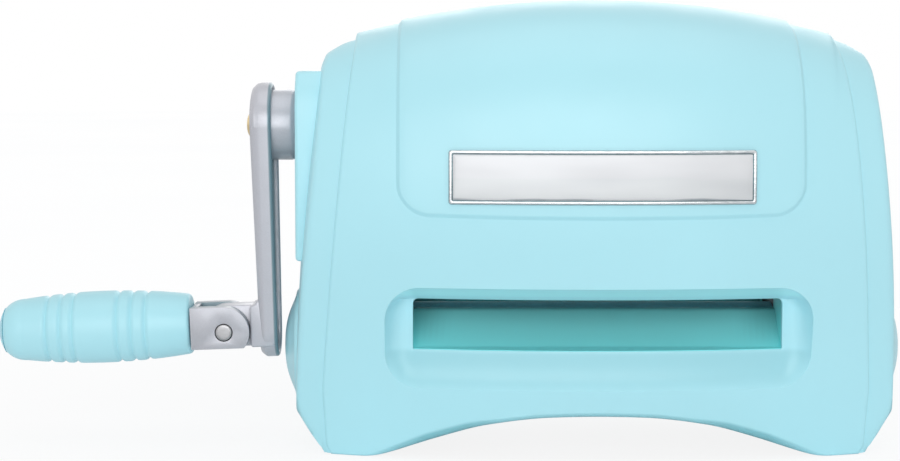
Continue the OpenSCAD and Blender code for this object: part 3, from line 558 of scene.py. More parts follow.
def recess_marks(loops):
    """Painted shade on the recess's floor and painted light on its ceiling, loop by loop."""
    slot, = measures("slot")
    height = np.array(loops[:RECESS_LOOPS])[..., 2]
    step = np.arange(RECESS_LOOPS)[:, None] / RECESS_LOOPS
    floor_shade, edge, floor_end, ceiling_end = 0.45, 0.003, 0.55, 0.75
    dark = floor_shade * smooth((slot.low + 0.001 - height) / edge)
    pale = smooth((height - slot.high) / edge)
    return (dark * (1 - smooth((step - floor_end) / (1 - floor_end))),
            pale * (1 - smooth((step - ceiling_end) / (1 - ceiling_end))))


def front_shell_mesh():
    """The front shell as closed loops: slot lip, recess, face, rolled rim and inner wall."""
    body, slot, band = measures("body", "slot", "band")
    section = Section(-band.rise)
    outline = shell_outline(section)
    mouth = rounded_ring(slot.half_width, slot.low, slot.high, slot.corner / 4, slot.corner)
    border = rounded_ring(slot.half_width + slot.side, slot.low - slot.below, slot.high + slot.above,
                          slot.recess_corner)
    lip_radius = section.bow + body.belly_depth - slot.lip_back
    full_rise = recess_rise(border)
    top_rim, wall_gap, crowding, rim_power = 0.0003, 0.0002, 1.4, 8
    inner_face_loops, inner_recess_loops = 15, 8

    def recess_point(share, drop):
        place = mouth + (border - mouth) * np.asarray(share)[..., None]
        x, height = place[:, 0], place[:, 1]
        floor = section.bow - np.sqrt(lip_radius ** 2 - x ** 2)
        face = section.point(x, section.at_height(x, height))[:, 1]
        y = floor + (np.minimum(face, floor) - floor) * recess_rise(place) / full_rise
        return np.stack([x, y + drop, height], axis=-1)

    lip = np.minimum(0.5, slot.lip_round / np.linalg.norm(border - mouth, axis=1))
    loops = [recess_point(0 * lip, body.wall)]
    for turn in np.radians([0, 22, 45, 68, 90]):
        loops.append(recess_point(lip * (1 - cos(turn)), slot.lip_round * (1 - sin(turn))))
    for share in 1 - (1 - np.linspace(0, 1, RECESS_LOOPS - LIP_LOOPS + 1)[1:]) ** crowding:
        loops.append(recess_point(lip + (1 - lip) * share, 0))

    ring = np.stack([border[:, 0], section.at_height(border[:, 0], border[:, 1])], axis=-1)
    rim = spread((body.rim_round, body.seam_round, top_rim, body.seam_round))
    roll = arch_share(outline[:BOTTOM, 0])
    rim[:BOTTOM] += (body.arch_round - body.rim_round) * roll
    edge, inner = inset(outline, rim), inset(outline, rim + wall_gap)

    def face_loop(start, end, share, lift):
        place = start + (end - start) * share
        loops.append(section.lifted(place[:, 0], place[:, 1], lift))

    for share in np.linspace(0, 1, FACE_LOOPS + 1)[1:]:
        face_loop(ring, edge, share, 0)
    for turn in np.radians(np.linspace(18, 90, RIM_LOOPS)):
        face_loop(edge, outline, sin(turn), -rim * (1 - cos(turn)))
    loops.append(section.lifted(outline[:, 0], outline[:, 1], -rim - body.wall))
    for share in np.linspace(1, 0, inner_face_loops):
        face_loop(ring, inner, share, -body.wall - rim * share ** rim_power)
    for share in np.linspace(1, 0, inner_recess_loops)[1:-1]:
        loops.append(recess_point(share * np.ones(len(mouth)), body.wall))
    loops.append(loops[0])
    piece = lay_grid("front_shell_moulding", around(np.array(loops)))

    # Painted light and shade: the recess's floor is marked darker and its ceiling lighter.
    shade, light = np.zeros((2, len(loops), len(mouth)))
    shade[:RECESS_LOOPS], light[:RECESS_LOOPS] = recess_marks(loops)
    first = RECESS_LOOPS + FACE_LOOPS
    # Painted shade: the rim rolled under the arch's slopes is marked darker, as a band in shadow.
    shade[first:first + RIM_LOOPS, :BOTTOM] = roll
    mark_points(piece, "shade", around(shade))
    mark_points(piece, "light", around(light))
    tidy_faces(piece)
    return piece


def band_mesh():
    """The raised band over the top of the shell: a soft edge strip and the field inside it."""
    band, = measures("band")
    section = Section(-band.rise)
    side_points, arc_points, low_points = 70, 15, 30
    bend = side_points + arc_points - 1
    strip_rows, fade_rows = 10, 40
    sunk, tuck, wall = 0.00004, 0.0006, 0.0012

    def low_edge(x):
        return section.at_height(x, band.low + band.sag * np.square(x / band.half_width))

    def path(e):
        """Left half of the band's edge, e inside it, from the parting line to the lower middle."""
        half, corner = band.half_width - e, band.corner - e
        base = low_edge(-band.half_width + band.corner) + e
        rise = np.linspace(section.top_end(-half), base + corner, side_points + 1)[:-1]
        side = np.stack([np.full(side_points, -half), rise], axis=-1)
        turn = np.radians(180 + 90 * np.arange(arc_points) / (arc_points - 1))
        arc = np.stack([-half + corner + corner * np.cos(turn), base + corner + corner * np.sin(turn)], axis=-1)
        x = np.linspace(-half + corner, 0, low_points + 1)[1:]
        return np.concatenate([side, arc, np.stack([x, low_edge(x) + e], axis=-1)])

    def both_halves(left):
        return np.concatenate([left, left[-2::-1] * np.array([-1, 1])])

    def lay(place, lift):
        return section.lifted(place[:, 0], place[:, 1], lift)

    strip = []
    for share in np.linspace(0, 1, strip_rows):
        strip.append(lay(both_halves(path(band.edge * share)), band.rise * smooth(share) - sunk * (1 - share)))
    edge_strip = lay_grid("band_edge", np.array(strip))

    inside = path(band.edge)
    side, low = inside[bend::-1], inside[bend:]
    across = both_halves(low)
    rows = []
    for k, (x, along) in enumerate(side):
        fade = 1 - smooth(k / fade_rows)
        share = across[:, 0] / -low[0, 0]
        place = np.stack([share * -x, along + (across[:, 1] - low[0, 1]) * fade], axis=-1)
        if k == len(side) - 1:
            place[:, 1] = section.top_end(place[:, 0])
        rows.append(lay(place, band.rise))
    rows.append(lay(place, -tuck))
    join(edge_strip, lay_grid("band_field", np.array(rows)))
    tidy_faces(edge_strip, 0.00002)
    thicken(edge_strip, wall)
    return edge_strip


# Side covers

# How a cover's side turns in at its foot, as heights and how much nearer the middle it lies there, and over
# its shoulder, as heights above the shoulder and how much nearer
FOOT_TURN = np.array([(-0.02, 0.0133), (0.001, 0.0125), (0.0036, 0.0098), (0.0085, 0.0062), (0.0135, 0.0030)])
SHOULDER_TURN = np.array([(0.0055, 0.0022), (0.0102, 0.0102), (0.0138, 0.0240), (0.0165, 0.05), (0.03, 0.12)])


def side_limit(height):
    """How far a cover reaches from the middle at a height, before it curves towards front and rear."""
    cover, = measures("covers")
    lean_power, sharp_below = 1.9, 0.006
    high = np.linspace(cover.low, cover.shoulder, 60)
    share = (high - cover.low) / (cover.shoulder - cover.low)
    reach = cover.half_width - cover.lean * share ** lean_power
    heights = np.concatenate([FOOT_TURN[:, 0], high, cover.shoulder + SHOULDER_TURN[:, 0]])
    reaches = np.concatenate([cover.half_width - FOOT_TURN[:, 1], reach,
                              cover.half_width - cover.lean - SHOULDER_TURN[:, 1]])
    fine = np.linspace(-0.02, 0.2, 900)
    rough = np.interp(fine, heights, reaches)
    return np.interp(height, fine, np.where(fine < sharp_below, rough, eased(rough, np.hanning(17))))


def cover_mesh(name):
    """The left cover as a skin laid by rays from inside it, cut open at its foot."""
    cover, band = measures("covers", "band")
    section = Section(-band.rise - cover.step)
    eye, outwards = np.array([0.062, 0, 0.090]), np.array([1, 0, 0])
    farthest, under_shell, under_foot, foot_high = 0.3, 0.003, 0.005, 0.018
    spokes, rings, edge_rings, edge_from = 241, 64, 22, 0.72
    halvings, settlings, swing, most_swing = 34, 40, 6, 0.1
    around_x = np.linspace(0, 2 * pi, spokes)
    outward = np.concatenate([np.linspace(0, edge_from, rings), np.linspace(edge_from, 1, edge_rings)[1:]])
    fore = np.stack([np.zeros_like(around_x), -np.sin(around_x), -np.cos(around_x)], axis=-1)

    def ray(turn):
        return fore * np.cos(turn)[..., None] + outwards * np.sin(turn)[..., None]

    def front_gap(points):
        x, y, height = points[..., 0], np.abs(points[..., 1]), points[..., 2]
        depth = np.sqrt(np.square(x) + np.square(section.bow + y)) - section.bow
        return depth - np.interp(section.lowered(height, x), section.height, section.depth)

    def side_gap(points):
        x, y, height = points[..., 0], points[..., 1], points[..., 2]
        middle = cover.half_width - cover.bow_radius
        return np.sqrt(np.square(x - middle) + np.square(y)) + middle - side_limit(height)

    def reach(direction, gap):
        near, far = np.zeros(direction.shape[:-1]), np.full(direction.shape[:-1], farthest)
        for _ in range(halvings):
            half = (near + far) / 2
            inside = gap(eye + direction * half[..., None]) < 0
            near, far = np.where(inside, half, near), np.where(inside, far, half)
        return near

    lean = np.full(len(around_x), 0.5)
    for _ in range(settlings):
        direction = ray(lean)
        place = eye + direction * reach(direction, front_gap)[:, None]
        start = seam_x(place[:, 2]) - under_shell - under_foot * smooth(1 - place[:, 2] / foot_high)
        lean += np.clip((start - place[:, 0]) * swing, -most_swing, most_swing)
    direction = ray(lean + (pi / 2 - lean) * outward[:, None])
    first, second = reach(direction, front_gap), reach(direction, side_gap)
    blend = cover.blend * np.clip(outward[:, None] * 5, 0.02, 1)
    share = np.maximum(0, blend - np.abs(first - second)) / blend
    distance = np.minimum(first, second) - share ** 3 * blend / 6
    points = eye + direction * distance[..., None]
    points[..., 0] *= -1
    piece = lay_grid(name, points)
    tidy_faces(piece)
    in_edit(piece)
    bpy.ops.mesh.bisect(plane_co=(0, 0, 0.0006), plane_no=(0, 0, 1), clear_inner=True)
    close_edit()
    thicken(piece, cover.wall)
    return piece


def boss_mesh():
    """The flat boss behind the crank arm, narrowing at its top to stay on the cover."""
    cover, crank = measures("covers", "crank")
    half, low, high, face = cover.boss_half, cover.boss_low, cover.boss_high, -cover.boss_x
    boss_depth, side_wall, top_wall, bore = 0.022, 0.011, 0.010, 0.0115
    right = [(half, low), (half, high - 0.0155), (half - 0.002, high - 0.0075), (half - 0.0075, high)]
    boss = prism("crank_boss", right + [(-y, z) for y, z in reversed(right)], face, face + boss_depth)
    stand(boss, lambda x, y, z: (y, x, z))
    soften(boss, cover.boss_round, 4)
    cut(boss, block("boss_hollow", (face + cover.wall, -half + side_wall, low + cover.wall),
                    (face + 0.03, half - side_wall, high - top_wall)))
    drill(boss, bore, 0.02, (face, 0, crank.axis_height), (0, pi / 2, 0), 64)
    return boss


def bulge_mesh():
    """The round bulge low on the cover beside the crank."""
    cover, = measures("covers")
    sunk, start, round_power, rise_power = 0.004, 0.04, 0.62, 0.9
    share = np.linspace(0, 1, 22)
    radius = cover.bulge_radius * (1 - share) ** round_power
    out = cover.bulge_out * smooth(start + (1 - start) * share ** rise_power)
    profile = [(0, -sunk), (cover.bulge_radius + 0.003, -sunk), (cover.bulge_radius + 0.0012, -0.001)]
    profile += [(float(r), float(z)) for r, z in zip(radius, out)]
    piece = lathe("cover_bulge", profile, 72)
    stand(piece, lambda x, y, z: (-(z + cover.half_width), -y, x + cover.bulge_height))
    return piece


# Name plate and ramps

# The plate's profile from its edge inwards, as distance in and share of the thickness: the border, then the label
PLATE_BORDER = ((0, -0.0006), (0, 0.45), (0.0001, 0.62), (0.0004, 0.85), (0.0008, 0.97), (0.0012, 1),
                (0.0016, 0.97), (0.0019, 0.86), (0.00205, 0.72), (0.0022, 0.7), (0.0024, 0.76), (0.0028, 0.86),
                (0.0034, 0.94), (0.0044, 0.98))
BORDER_END, LABEL_FLAT, FIELD_LOOPS, MIDDLE_GRID = 0.0022, 0.006, 6, 0.0017


def plate_mesh():
    """The bare name plate: a bevelled border, bright and dark with painted reflection, and a domed label inside it.
    """
    plate, = measures("plate")
    section = Section(0)
    nearly, corner_shrink, sharpest, wall = 0.9999, 0.4, 0.00002, 0.0006
    half, low, high = plate.half_width, plate.height - plate.half_height, plate.height + plate.half_height
    steps = [(e * plate.border / BORDER_END, lift) for e, lift in PLATE_BORDER]
    steps += [(LABEL_FLAT + (plate.half_height - LABEL_FLAT) * (k / FIELD_LOOPS), 1)
              for k in range(FIELD_LOOPS + 1)]
    loops = []
    for e, lift in steps:
        ring = rounded_ring(half - e, low + e * nearly, high - e * nearly,
                            max(sharpest, plate.corner - e * corner_shrink))
        if len(loops) == len(steps) - 1:
            ring = np.stack([np.round(ring[:, 0] / MIDDLE_GRID) * MIDDLE_GRID, np.full(len(ring), plate.height)],
                            axis=-1)
        lift = lift if lift < 0 else lift * plate.thickness
        loops.append(section.lifted(ring[:, 0], section.at_height(ring[:, 0], ring[:, 1]), lift))
    piece = lay_grid("name_plate_label", around(np.array(loops)))
    # The 'label' mark: 1 on the label; on the border, 0.5 where the painted reflection is bright and 0 where it is
    # dark.
    border = [0] * 3 + [0.5] * 5 + [0] * 3
    label = border + [1] * (len(loops) - len(border))
    mark_points(piece, "label", np.repeat(label, len(loops[0]) + 1))
    tidy_faces(piece, 0.000004)
    thicken(piece, wall)
    return piece


def ramp_mesh():
    """The front feed ramp: a shelf at the lip, the slope and the bed behind it."""
    slot, body = measures("slot", "body")
    lip_radius = body.bow_radius - slot.lip_back
    low, crest, wall, over = slot.low, 0.062, 0.0025, slot.high + 0.0028
    corner_shade_reach, corner_shade_blend = 0.019, 0.018
    side_play, cheek_play, cheek_wall = 0.0003, 0.00015, 0.0013
    foot, shelf_end, back = -0.0495, -0.0375, -0.0185

    def lip(x):
        return body.bow_radius - body.belly_depth - sqrt(lip_radius ** 2 - x * x)

    bends = [(foot, low + 0.0002), (-0.0385, low + 0.0002), (-0.0372, low + 0.0005), (-0.0236, crest - 0.0012),
             (-0.0226, crest - 0.0003), (-0.0212, crest), (back, crest)]
    bends += [(y, z - wall) for y, z in reversed(bends)]
    across = np.linspace(-slot.half_width - side_play, slot.half_width + side_play, 61)
    points = np.array([[(x, lip(x) + 0.0003 if y == foot else y, z) for x in across] for y, z in bends + bends[:1]])
    piece = lay_grid("feed_ramp_plastic", points)
    # Painted shade: the ramp is marked darker near its two ends, more so up the slope towards the crest.
    rise = np.clip((points[..., 2] - low - 0.0005) / (crest - low - 0.0017), 0, 1)
    aside = smooth((np.abs(points[..., 0]) - slot.half_width + corner_shade_reach) / corner_shade_blend)
    mark_points(piece, "shade", rise * aside)
    tidy_faces(piece, fill=True)
    front = lip(slot.half_width + cheek_wall) + 0.0006
    outline = [(front, low - wall), (shelf_end, low - wall), (-0.0215, crest - wall), (back, crest - wall),
               (back, over), (front, over)]
    for side in (-1, 1):
        start = side * (slot.half_width + cheek_play)
        cheek = prism("cheek", outline, start, start + side * cheek_wall)
        stand(cheek, lambda x, y, z: (y, x, z))
        join(piece, cheek)
    return piece


# Crank and grip, first in the arm's own frame

def lean_arm(piece):
    """Move a piece from the arm's frame to its place, leaning towards the body."""
    crank, = measures("crank")
    c, s = cos(crank.lean), sin(crank.lean)
    move_points(piece, lambda p: np.stack([p[:, 0] * c - p[:, 2] * s - crank.arm_x, p[:, 1],
                                           p[:, 0] * s + p[:, 2] * c + crank.axis_height], axis=-1))


def pin_height():
    """Height of the hinge pin in the arm's frame."""
    crank, = measures("crank")
    return -crank.throw - crank.pin_drop


def arc(y, z, radius, turns):
    """Points on a circle."""
    return [(y + radius * cos(t), z + radius * sin(t)) for t in turns]


def arm_outline(e):
    """The arm's tapered outline as (y, z), e inside it."""
    crank, = measures("crank")
    drop = pin_height()
    slant = np.arcsin((crank.arm_top - crank.arm_low) / -drop)
    return (arc(0, 0, crank.arm_top - e, np.linspace(-slant, pi + slant, 57))
            + arc(0, drop, crank.arm_low - e, np.linspace(pi + slant, 2 * pi - slant, 45)))


def arm_mesh():
    """The arm: rounded outer face with a crowned eye, and a channel all round its inner face."""
    crank, = measures("crank")
    half, rim, floor, edge = crank.arm_half, 0.0021, crank.arm_half - crank.channel, 0.0012
    shadow_depth, shadow_blend = 0.0014, 0.008
    swell_height, swell_reach, swell_middle = 0.0016, 0.021, 0.0005
    outer_face = [(e, -half) for e in (0.0105, 0.0095, 0.008, 0.0065, 0.005, 0.0036)]
    outer_edge = [(0.0024, -half), (0.0021, -half + 0.0001), (0.0018, -half + 0.0003), (0.0003, -half + 0.0020),
                  (0.0001, -half + 0.0024), (0, -half + 0.0028)]
    inner_edge = [(0, half - 0.0017), (0, half - edge)]
    inner_edge += [(edge * (1 - cos(t)), half - edge * (1 - sin(t))) for t in np.radians([30, 60, 90])]
    inner_edge += [(rim - 0.0006, half), (rim - 0.0002, half - 0.0002), (rim, half - 0.0007)]
    channel = [(rim + 0.00006, half - 0.0019), (rim + 0.00008, half - 0.0023), (rim + 0.0002, floor + 0.0008)]
    channel += [(e, floor) for e in (rim + 0.0010, 0.004, 0.007, 0.0105)]
    loops = outer_face + outer_edge + inner_edge + channel
    piece = lay_grid("arm_skin", around(np.array([[(x, y, z) for y, z in arm_outline(e)] for e, x in loops])))

    # Painted shade with a teal tint of painted reflection: the 'channel' mark covers the inner rim and the
    # channel's walls on the near half of the outline, and only the deeper part of the far wall on the far half.
    inset_by, depth = np.array(loops).T
    wall = (depth > -half + 0.003) & (inset_by > rim - 0.0004)
    near = (depth > half - shadow_depth) | wall
    far = (depth < half - 0.0021) & wall
    side = arm_outline(0)
    near_side = smooth(0.5 - np.array([y for y, z in side + side[:1]]) / shadow_blend)
    mark_points(piece, "channel", np.outer(near, near_side) + np.outer(far, 1 - near_side))
    tidy_faces(piece, fill=True)

    def crown(p):
        """Swell the eye and set it nearer the body."""
        away = np.hypot(p[:, 1] * 0.6, p[:, 2] - swell_middle)
        swell = swell_height * smooth(1.25 - away / swell_reach)
        p[:, 0] -= np.where(p[:, 0] < -half + 0.0023, swell, 0)
        p[:, 0] += crank.eye_shift * (1 - p[:, 2] / pin_height())
        return p

    move_points(piece, crown)
    return piece


def knuckle_mesh():
    """The block and tongue at the arm's lower end, its face clear of the folding fork."""
    crank, = measures("crank")
    pin_x, pin_z, in_arm, shoulder = -crank.pin_x, pin_height(), 0.0025, 0.0016
    near = pin_x + crank.fork_radius + 0.0004
    low, top, width = pin_z - crank.fork_under, pin_z + crank.fork_radius, crank.fork_half - shoulder
    outline = [(in_arm, low), (near, low), (near, top - 0.0010), (near + 0.0004, top - 0.0003),
               (near + 0.0012, top), (-0.0056, top + 0.0006), (-0.0046, top + 0.0022), (in_arm, top + 0.0034)]
    knuckle = prism("knuckle", outline, -width, width)
    soften(knuckle, 0.0009, 3, 40)
    radius = crank.tongue_radius
    bow = [t for t in np.radians(np.linspace(64, 221, 36)) if t > pi / 2]
    tongue = [(near, low), (near + 0.004, pin_z), (near + 0.003, pin_z + radius), (pin_x, pin_z + radius)]
    piece = prism("tongue", tongue + arc(pin_x, pin_z, radius, bow), -crank.tongue_half, crank.tongue_half)
    soften(piece, 0.0006, 2, 40)
    return join(knuckle, piece)


def hub_mesh():
    """The hub between the arm and the boss, along the crank axis."""
    crank, cover = measures("crank", "covers")
    far, r = crank.arm_x - cover.boss_x - crank.hub_gap, crank.hub_radius
    profile = [(0, -0.001), (r - 0.001, -0.001), (r - 0.001, 0.0008), (r, 0.0016), (r, far - 0.0032),
               (r - 0.0002, far - 0.0024), (r - 0.0014, far - 0.0006), (r - 0.0019, far - 0.0001),
               (r - 0.0026, far), (0.0065, far), (0, far)]
    piece = lathe("crank_hub", profile)
    stand(piece, lambda x, y, z: (z - crank.arm_x, -y, x + crank.axis_height))
    return piece


def cap_mesh():
    """The domed cap nut with its flange."""
    crank, = measures("crank")
    face = crank.arm_x + crank.arm_half + 0.0002 - crank.eye_shift
    r, h, flange = crank.cap_radius, crank.cap_height, 0.0014
    profile = [(0, -0.0007), (r, -0.0007), (r, 0.0008), (r - 0.0002, 0.0012), (r - 0.0006, flange)]
    turn = np.radians(np.linspace(8, 90, 12))
    profile += [((r - 0.0008) * cos(t) ** 0.8, flange + (h - flange) * sin(t)) for t in turn[:-1]] + [(0, h)]
    piece = lathe("cap_nut_dome", profile, 64)
    stand(piece, lambda x, y, z: (-(z + face), -y, x + crank.axis_height))
    return piece


def pin_mesh():
    """The hinge pin with its chamfered ends and a ring round each."""
    crank, = measures("crank")
    far, r = crank.fork_half + 0.0003, crank.pin_radius
    end = [(0, far), (0.0012, far), (0.0024, far - 0.00002), (r - 0.0004, far - 0.0001), (r - 0.0001, far - 0.0003)]
    profile = end + [(r, far - 0.0007), (r, -far + 0.0009)] + [(a, -b) for a, b in reversed(end)]
    piece = lathe("hinge_pin_turned", profile, 64)
    stand(piece, lambda x, y, z: (x - crank.pin_x, z, y + pin_height()))
    lean_arm(piece)
    return piece


def fork_mesh():
    """The folding fork: two rounded cheeks joined by the root that the grip turns on."""
    crank, = measures("crank")
    pin_x, pin_z, root_x = -crank.pin_x, pin_height(), -crank.pin_x - crank.fork_length
    r, under, gap = crank.fork_radius, crank.fork_under, crank.tongue_half + 0.0003
    bore_play, root_wall, sunk = 0.00035, 0.0012, 0.0001
    nose = arc(pin_x, pin_z, r, np.linspace(np.arcsin(-under / r), pi / 2, 30))
    outline = [(root_x, pin_z - under)] + nose + [(pin_x - 0.004, pin_z + r), (root_x, pin_z + r)]
    cheeks = []
    for side in (-1, 1):
        cheek = prism("fork_cheek", outline, *sorted((side * gap, side * crank.fork_half)))
        drill(cheek, crank.pin_radius + bore_play, 0.1, (pin_x, 0, pin_z), (pi / 2, 0, 0), 72)
        soften(cheek, 0.0011)
        cheeks.append(cheek)
    root = block("fork_root", (root_x + sunk, -gap - root_wall, pin_z - under + sunk),
                 (root_x + crank.fork_root, gap + root_wall, pin_z + r - sunk))
    soften(root, 0.0005, 2)
    fork = join(*cheeks, root)
    # Painted shade inside the fork's slot: the faces between the cheeks are marked 'channel'.
    mark_points(fork, "channel", [abs(v.co.y) < gap + 0.0004 for v in fork.data.vertices])
    lean_arm(fork)
    return fork


def grip_profile():
    """The grip's outline as (radius, along) from its fork end: a barrel with ring grooves and a domed end."""
    grip, = measures("grip")
    edge, round_in, dome_power = grip.length - grip.dome, 0.0016, 2.2
    middle, half_barrel, taper = 0.0386, 0.0336, 0.0021
    s = np.concatenate([np.linspace(0, round_in, 7), np.linspace(round_in, edge, 130)[1:],
                        grip.length - grip.dome * (1 - np.sin(np.linspace(0, pi / 2, 26)[1:]))])

    def barrel(along):
        return grip.radius - taper * np.square((along - middle) / half_barrel)

    u = np.clip((s - edge) / grip.dome, 0, 1)
    radius = np.where(s > edge, barrel(edge) * (1 - u ** dome_power) ** (1 / dome_power), barrel(s))
    v = np.clip(1 - s / round_in, 0, 1)
    radius -= round_in * (1 - np.sqrt(np.maximum(0, 1 - v * v)))
    for place in (0.225, 0.298, 0.37, 0.6, 0.662, 0.735):
        radius -= grip.groove * np.exp(-np.square((s - place * grip.length) / grip.groove_width))
    return np.maximum(radius, 0), s


def grip_meshes():
    """The sleeve and its end cap, turned about the grip's axis."""
    grip, crank = measures("grip", "crank")
    radius, along = grip_profile()
    outline = list(zip(radius, along))
    root_x = crank.pin_x + crank.fork_length + grip.gap
    start = grip.length - grip.tip
    rim = float(np.interp(start, along, radius))
    sleeve = [(0, 0.0006), (0.0045, 0.0006), (0.0052, 0)] + [(r, s) for r, s in outline if s < start]
    sleeve += [(rim, start), (rim - 0.0006, start + 0.0003), (0, start + 0.0003)]
    tip = [(0, start + 0.0004), (rim - 0.0007, start + 0.0004), (rim - 0.0002, start + 0.0005)]
    tip += [(r, s) for r, s in outline if s > start + 0.0006]
    if tip[-1][0] > 0:
        tip.append((0, grip.length))
    pieces = []
    for name, profile in (("grip_sleeve_moulding", sleeve), ("grip_end_moulding", tip)):
        piece = lathe(name, profile)
        stand(piece, lambda x, y, z: (-(z + root_x), -y, x - crank.throw))
        lean_arm(piece)
        pieces.append(piece)
    return pieces


# Finishes

class Nodes:
    """The nodes of a material or of the surroundings."""

    def __init__(self, owner):
        owner.use_nodes = True
        self.tree = owner.node_tree

    def find(self, kind):
        """The tree's own node of a kind."""
        return next(node for node in self.tree.nodes if node.type == kind)

    def put(self, socket, value):
        """Link a socket to an output, or give it a value of its own."""
        if isinstance(value, bpy.types.NodeSocket):
            self.tree.links.new(value, socket)
        else:
            socket.default_value = value

    def add(self, kind, output, inputs=None, **settings):
        """Add a node, fill its inputs and give one of its outputs."""
        node = self.tree.nodes.new("ShaderNode" + kind)
        for key, value in settings.items():
            setattr(node, key, value)
        for key, value in (inputs or {}).items():
            self.put(node.inputs[key], value)
        return node.outputs[output]

    def maths(self, operation, *terms):
        """A sum, product or the like of numbers and sockets."""
        return self.add("Math", "Value", dict(enumerate(terms)), operation=operation)


class Recipe(Nodes):
    """A node material over object coordinates, built up from its Principled shader."""

    def __init__(self, name):
        self.material = bpy.data.materials.new(name)
        super().__init__(self.material)
        self.shader = self.find("BSDF_PRINCIPLED")
        self.place = self.add("TexCoord", "Object")

    def attribute(self, name):
        """What mark_points gave the piece under a name."""
        return self.add("Attribute", "Fac", attribute_name=name)

    def height(self):
        """Height over the table."""
        return self.add("SeparateXYZ", "Z", {"Vector": self.place})

    def noise(self, scale, detail=3.0, stretch=None):
        """Noise of a scale, with object coordinates stretched by three factors where they are given."""
        place = self.place
        if stretch:
            place = self.add("Mapping", "Vector", {"Vector": place, "Scale": stretch})
        return self.add("TexNoise", "Fac", {"Vector": place, "Scale": scale, "Detail": detail})

    def to_range(self, source, low=0, high=1, start=0.3, end=0.7):
        """A value that goes from low to high while its source goes from start to end."""
        return self.add("MapRange", "Result", {"Value": source, "From Min": start, "From Max": end,
                                               "To Min": low, "To Max": high})

    def mixed(self, share, first, second):
        """A colour between two colours or sockets."""
        first, second = (end if isinstance(end, bpy.types.NodeSocket) else (*end, 1) for end in (first, second))
        return self.add("Mix", 2, {"Factor": share, 6: first, 7: second}, data_type="RGBA")

    def bump(self, source, strength, distance=0.0001, after=None):
        """Bumps of a strength and a height, over others that come first."""
        inputs = {"Strength": strength, "Distance": distance, "Height": source}
        if after:
            inputs["Normal"] = after
        return self.add("Bump", "Normal", inputs)

    def finish(self, colour, roughness, normal=None, metallic=0.0, coat=None):
        """Fill the shader and give the material. A coat is its weight and its roughness."""
        inputs = {"Base Color": colour, "Roughness": roughness, "Metallic": metallic}
        if normal:
            inputs["Normal"] = normal
        if coat:
            inputs["Coat Weight"], inputs["Coat Roughness"] = coat
        for key, value in inputs.items():
            self.put(self.shader.inputs[key], value)
        return self.material


def tint(base, *factors):
    """A colour made lighter or darker by one factor, or by one for each of its parts."""
    return tuple(min(1.0, part * factor) for part, factor in zip(base, factors * (3 // len(factors))))


def moulded(name, base, rough=0.36, coat=0.12):
    """Satin moulded plastic: a faint cloudiness, a fine moulding grain and uneven gloss, with painted light and
    painted shade where a piece is marked.
    """
    r = Recipe(name)
    face = r.mixed(r.to_range(r.noise(9, 2)), tint(base, 0.975), tint(base, 1.02))
    # Painted light where a piece is marked 'light', painted shade where it is marked 'shade'.
    lit = r.mixed(r.attribute("light"), face, tint(base, 1.10, 1.13, 1.10))
    colour = r.mixed(r.attribute("shade"), lit, tint(base, 0.56, 0.72, 0.73))
    grain = r.bump(r.noise(2600, 2), 0.10, 0.00005, r.bump(r.noise(24, 2), 0.05, 0.0002))
    return r.finish(colour, r.to_range(r.noise(60, 4), rough - 0.05, rough + 0.05), grain, coat=(coat, 0.22))


def painted(name, base, rough=0.34, metallic=0.25):
    """Metallic paint: small flakes of brightness and an orange peel, with painted shade tinted teal where a piece
    is marked 'channel'.
    """
    r = Recipe(name)
    mottled = r.mixed(r.to_range(r.noise(30, 3)), tint(base, 0.95), tint(base, 1.04))
    flecked = r.mixed(r.to_range(r.noise(3800, 2), 0, 1, 0.35, 0.65), mottled, tint(base, 1.10))
    # Painted shade, tinted teal as a painted reflection of the aqua body, where a piece is marked 'channel'.
    colour = r.mixed(r.attribute("channel"), flecked, tint(base, 0.38, 0.55, 0.58))
    return r.finish(colour, r.to_range(r.noise(140, 3), rough - 0.05, rough + 0.07),
                    r.bump(r.noise(700, 2), 0.12, 0.00005), metallic, (0.25, 0.16))


def metal(name, base, rough=0.25, stretch=(14, 1, 1)):
    """Turned or brushed metal: fine streaks across one direction and a stained tint."""
    r = Recipe(name)
    streak = r.noise(420, 5, stretch)
    return r.finish(r.mixed(r.to_range(streak), tint(base, 0.88), tint(base, 1.05)),
                    r.to_range(streak, rough - 0.08, rough + 0.10),
                    r.bump(streak, 0.14, 0.00004, r.bump(r.noise(35, 3), 0.05, 0.0001)), 1.0)


def rubber(name, base):
    """Dull rubber with a fine pitted face and paler dust in patches."""
    r = Recipe(name)
    return r.finish(r.mixed(r.to_range(r.noise(70, 4)), base, tint(base, 1.7)),
                    r.to_range(r.noise(240, 3), 0.72, 0.9), r.bump(r.noise(1500, 3), 0.35, 0.0001))


def ramp_finish(name, base):
    """Ramp plastic with painted shade: darker towards the crest inside the slot and in its two marked corners."""
    r = Recipe(name)
    # Painted shade by height towards the crest, and painted shade where the ramp is marked.
    slope = r.mixed(r.to_range(r.height(), 0, 1, 0.047, 0.062), base, tint(base, 0.74))
    return r.finish(r.mixed(r.attribute("shade"), slope, tint(base, 0.48)),
                    r.to_range(r.noise(60, 4), 0.33, 0.44), r.bump(r.noise(2600, 2), 0.12, 0.00005))


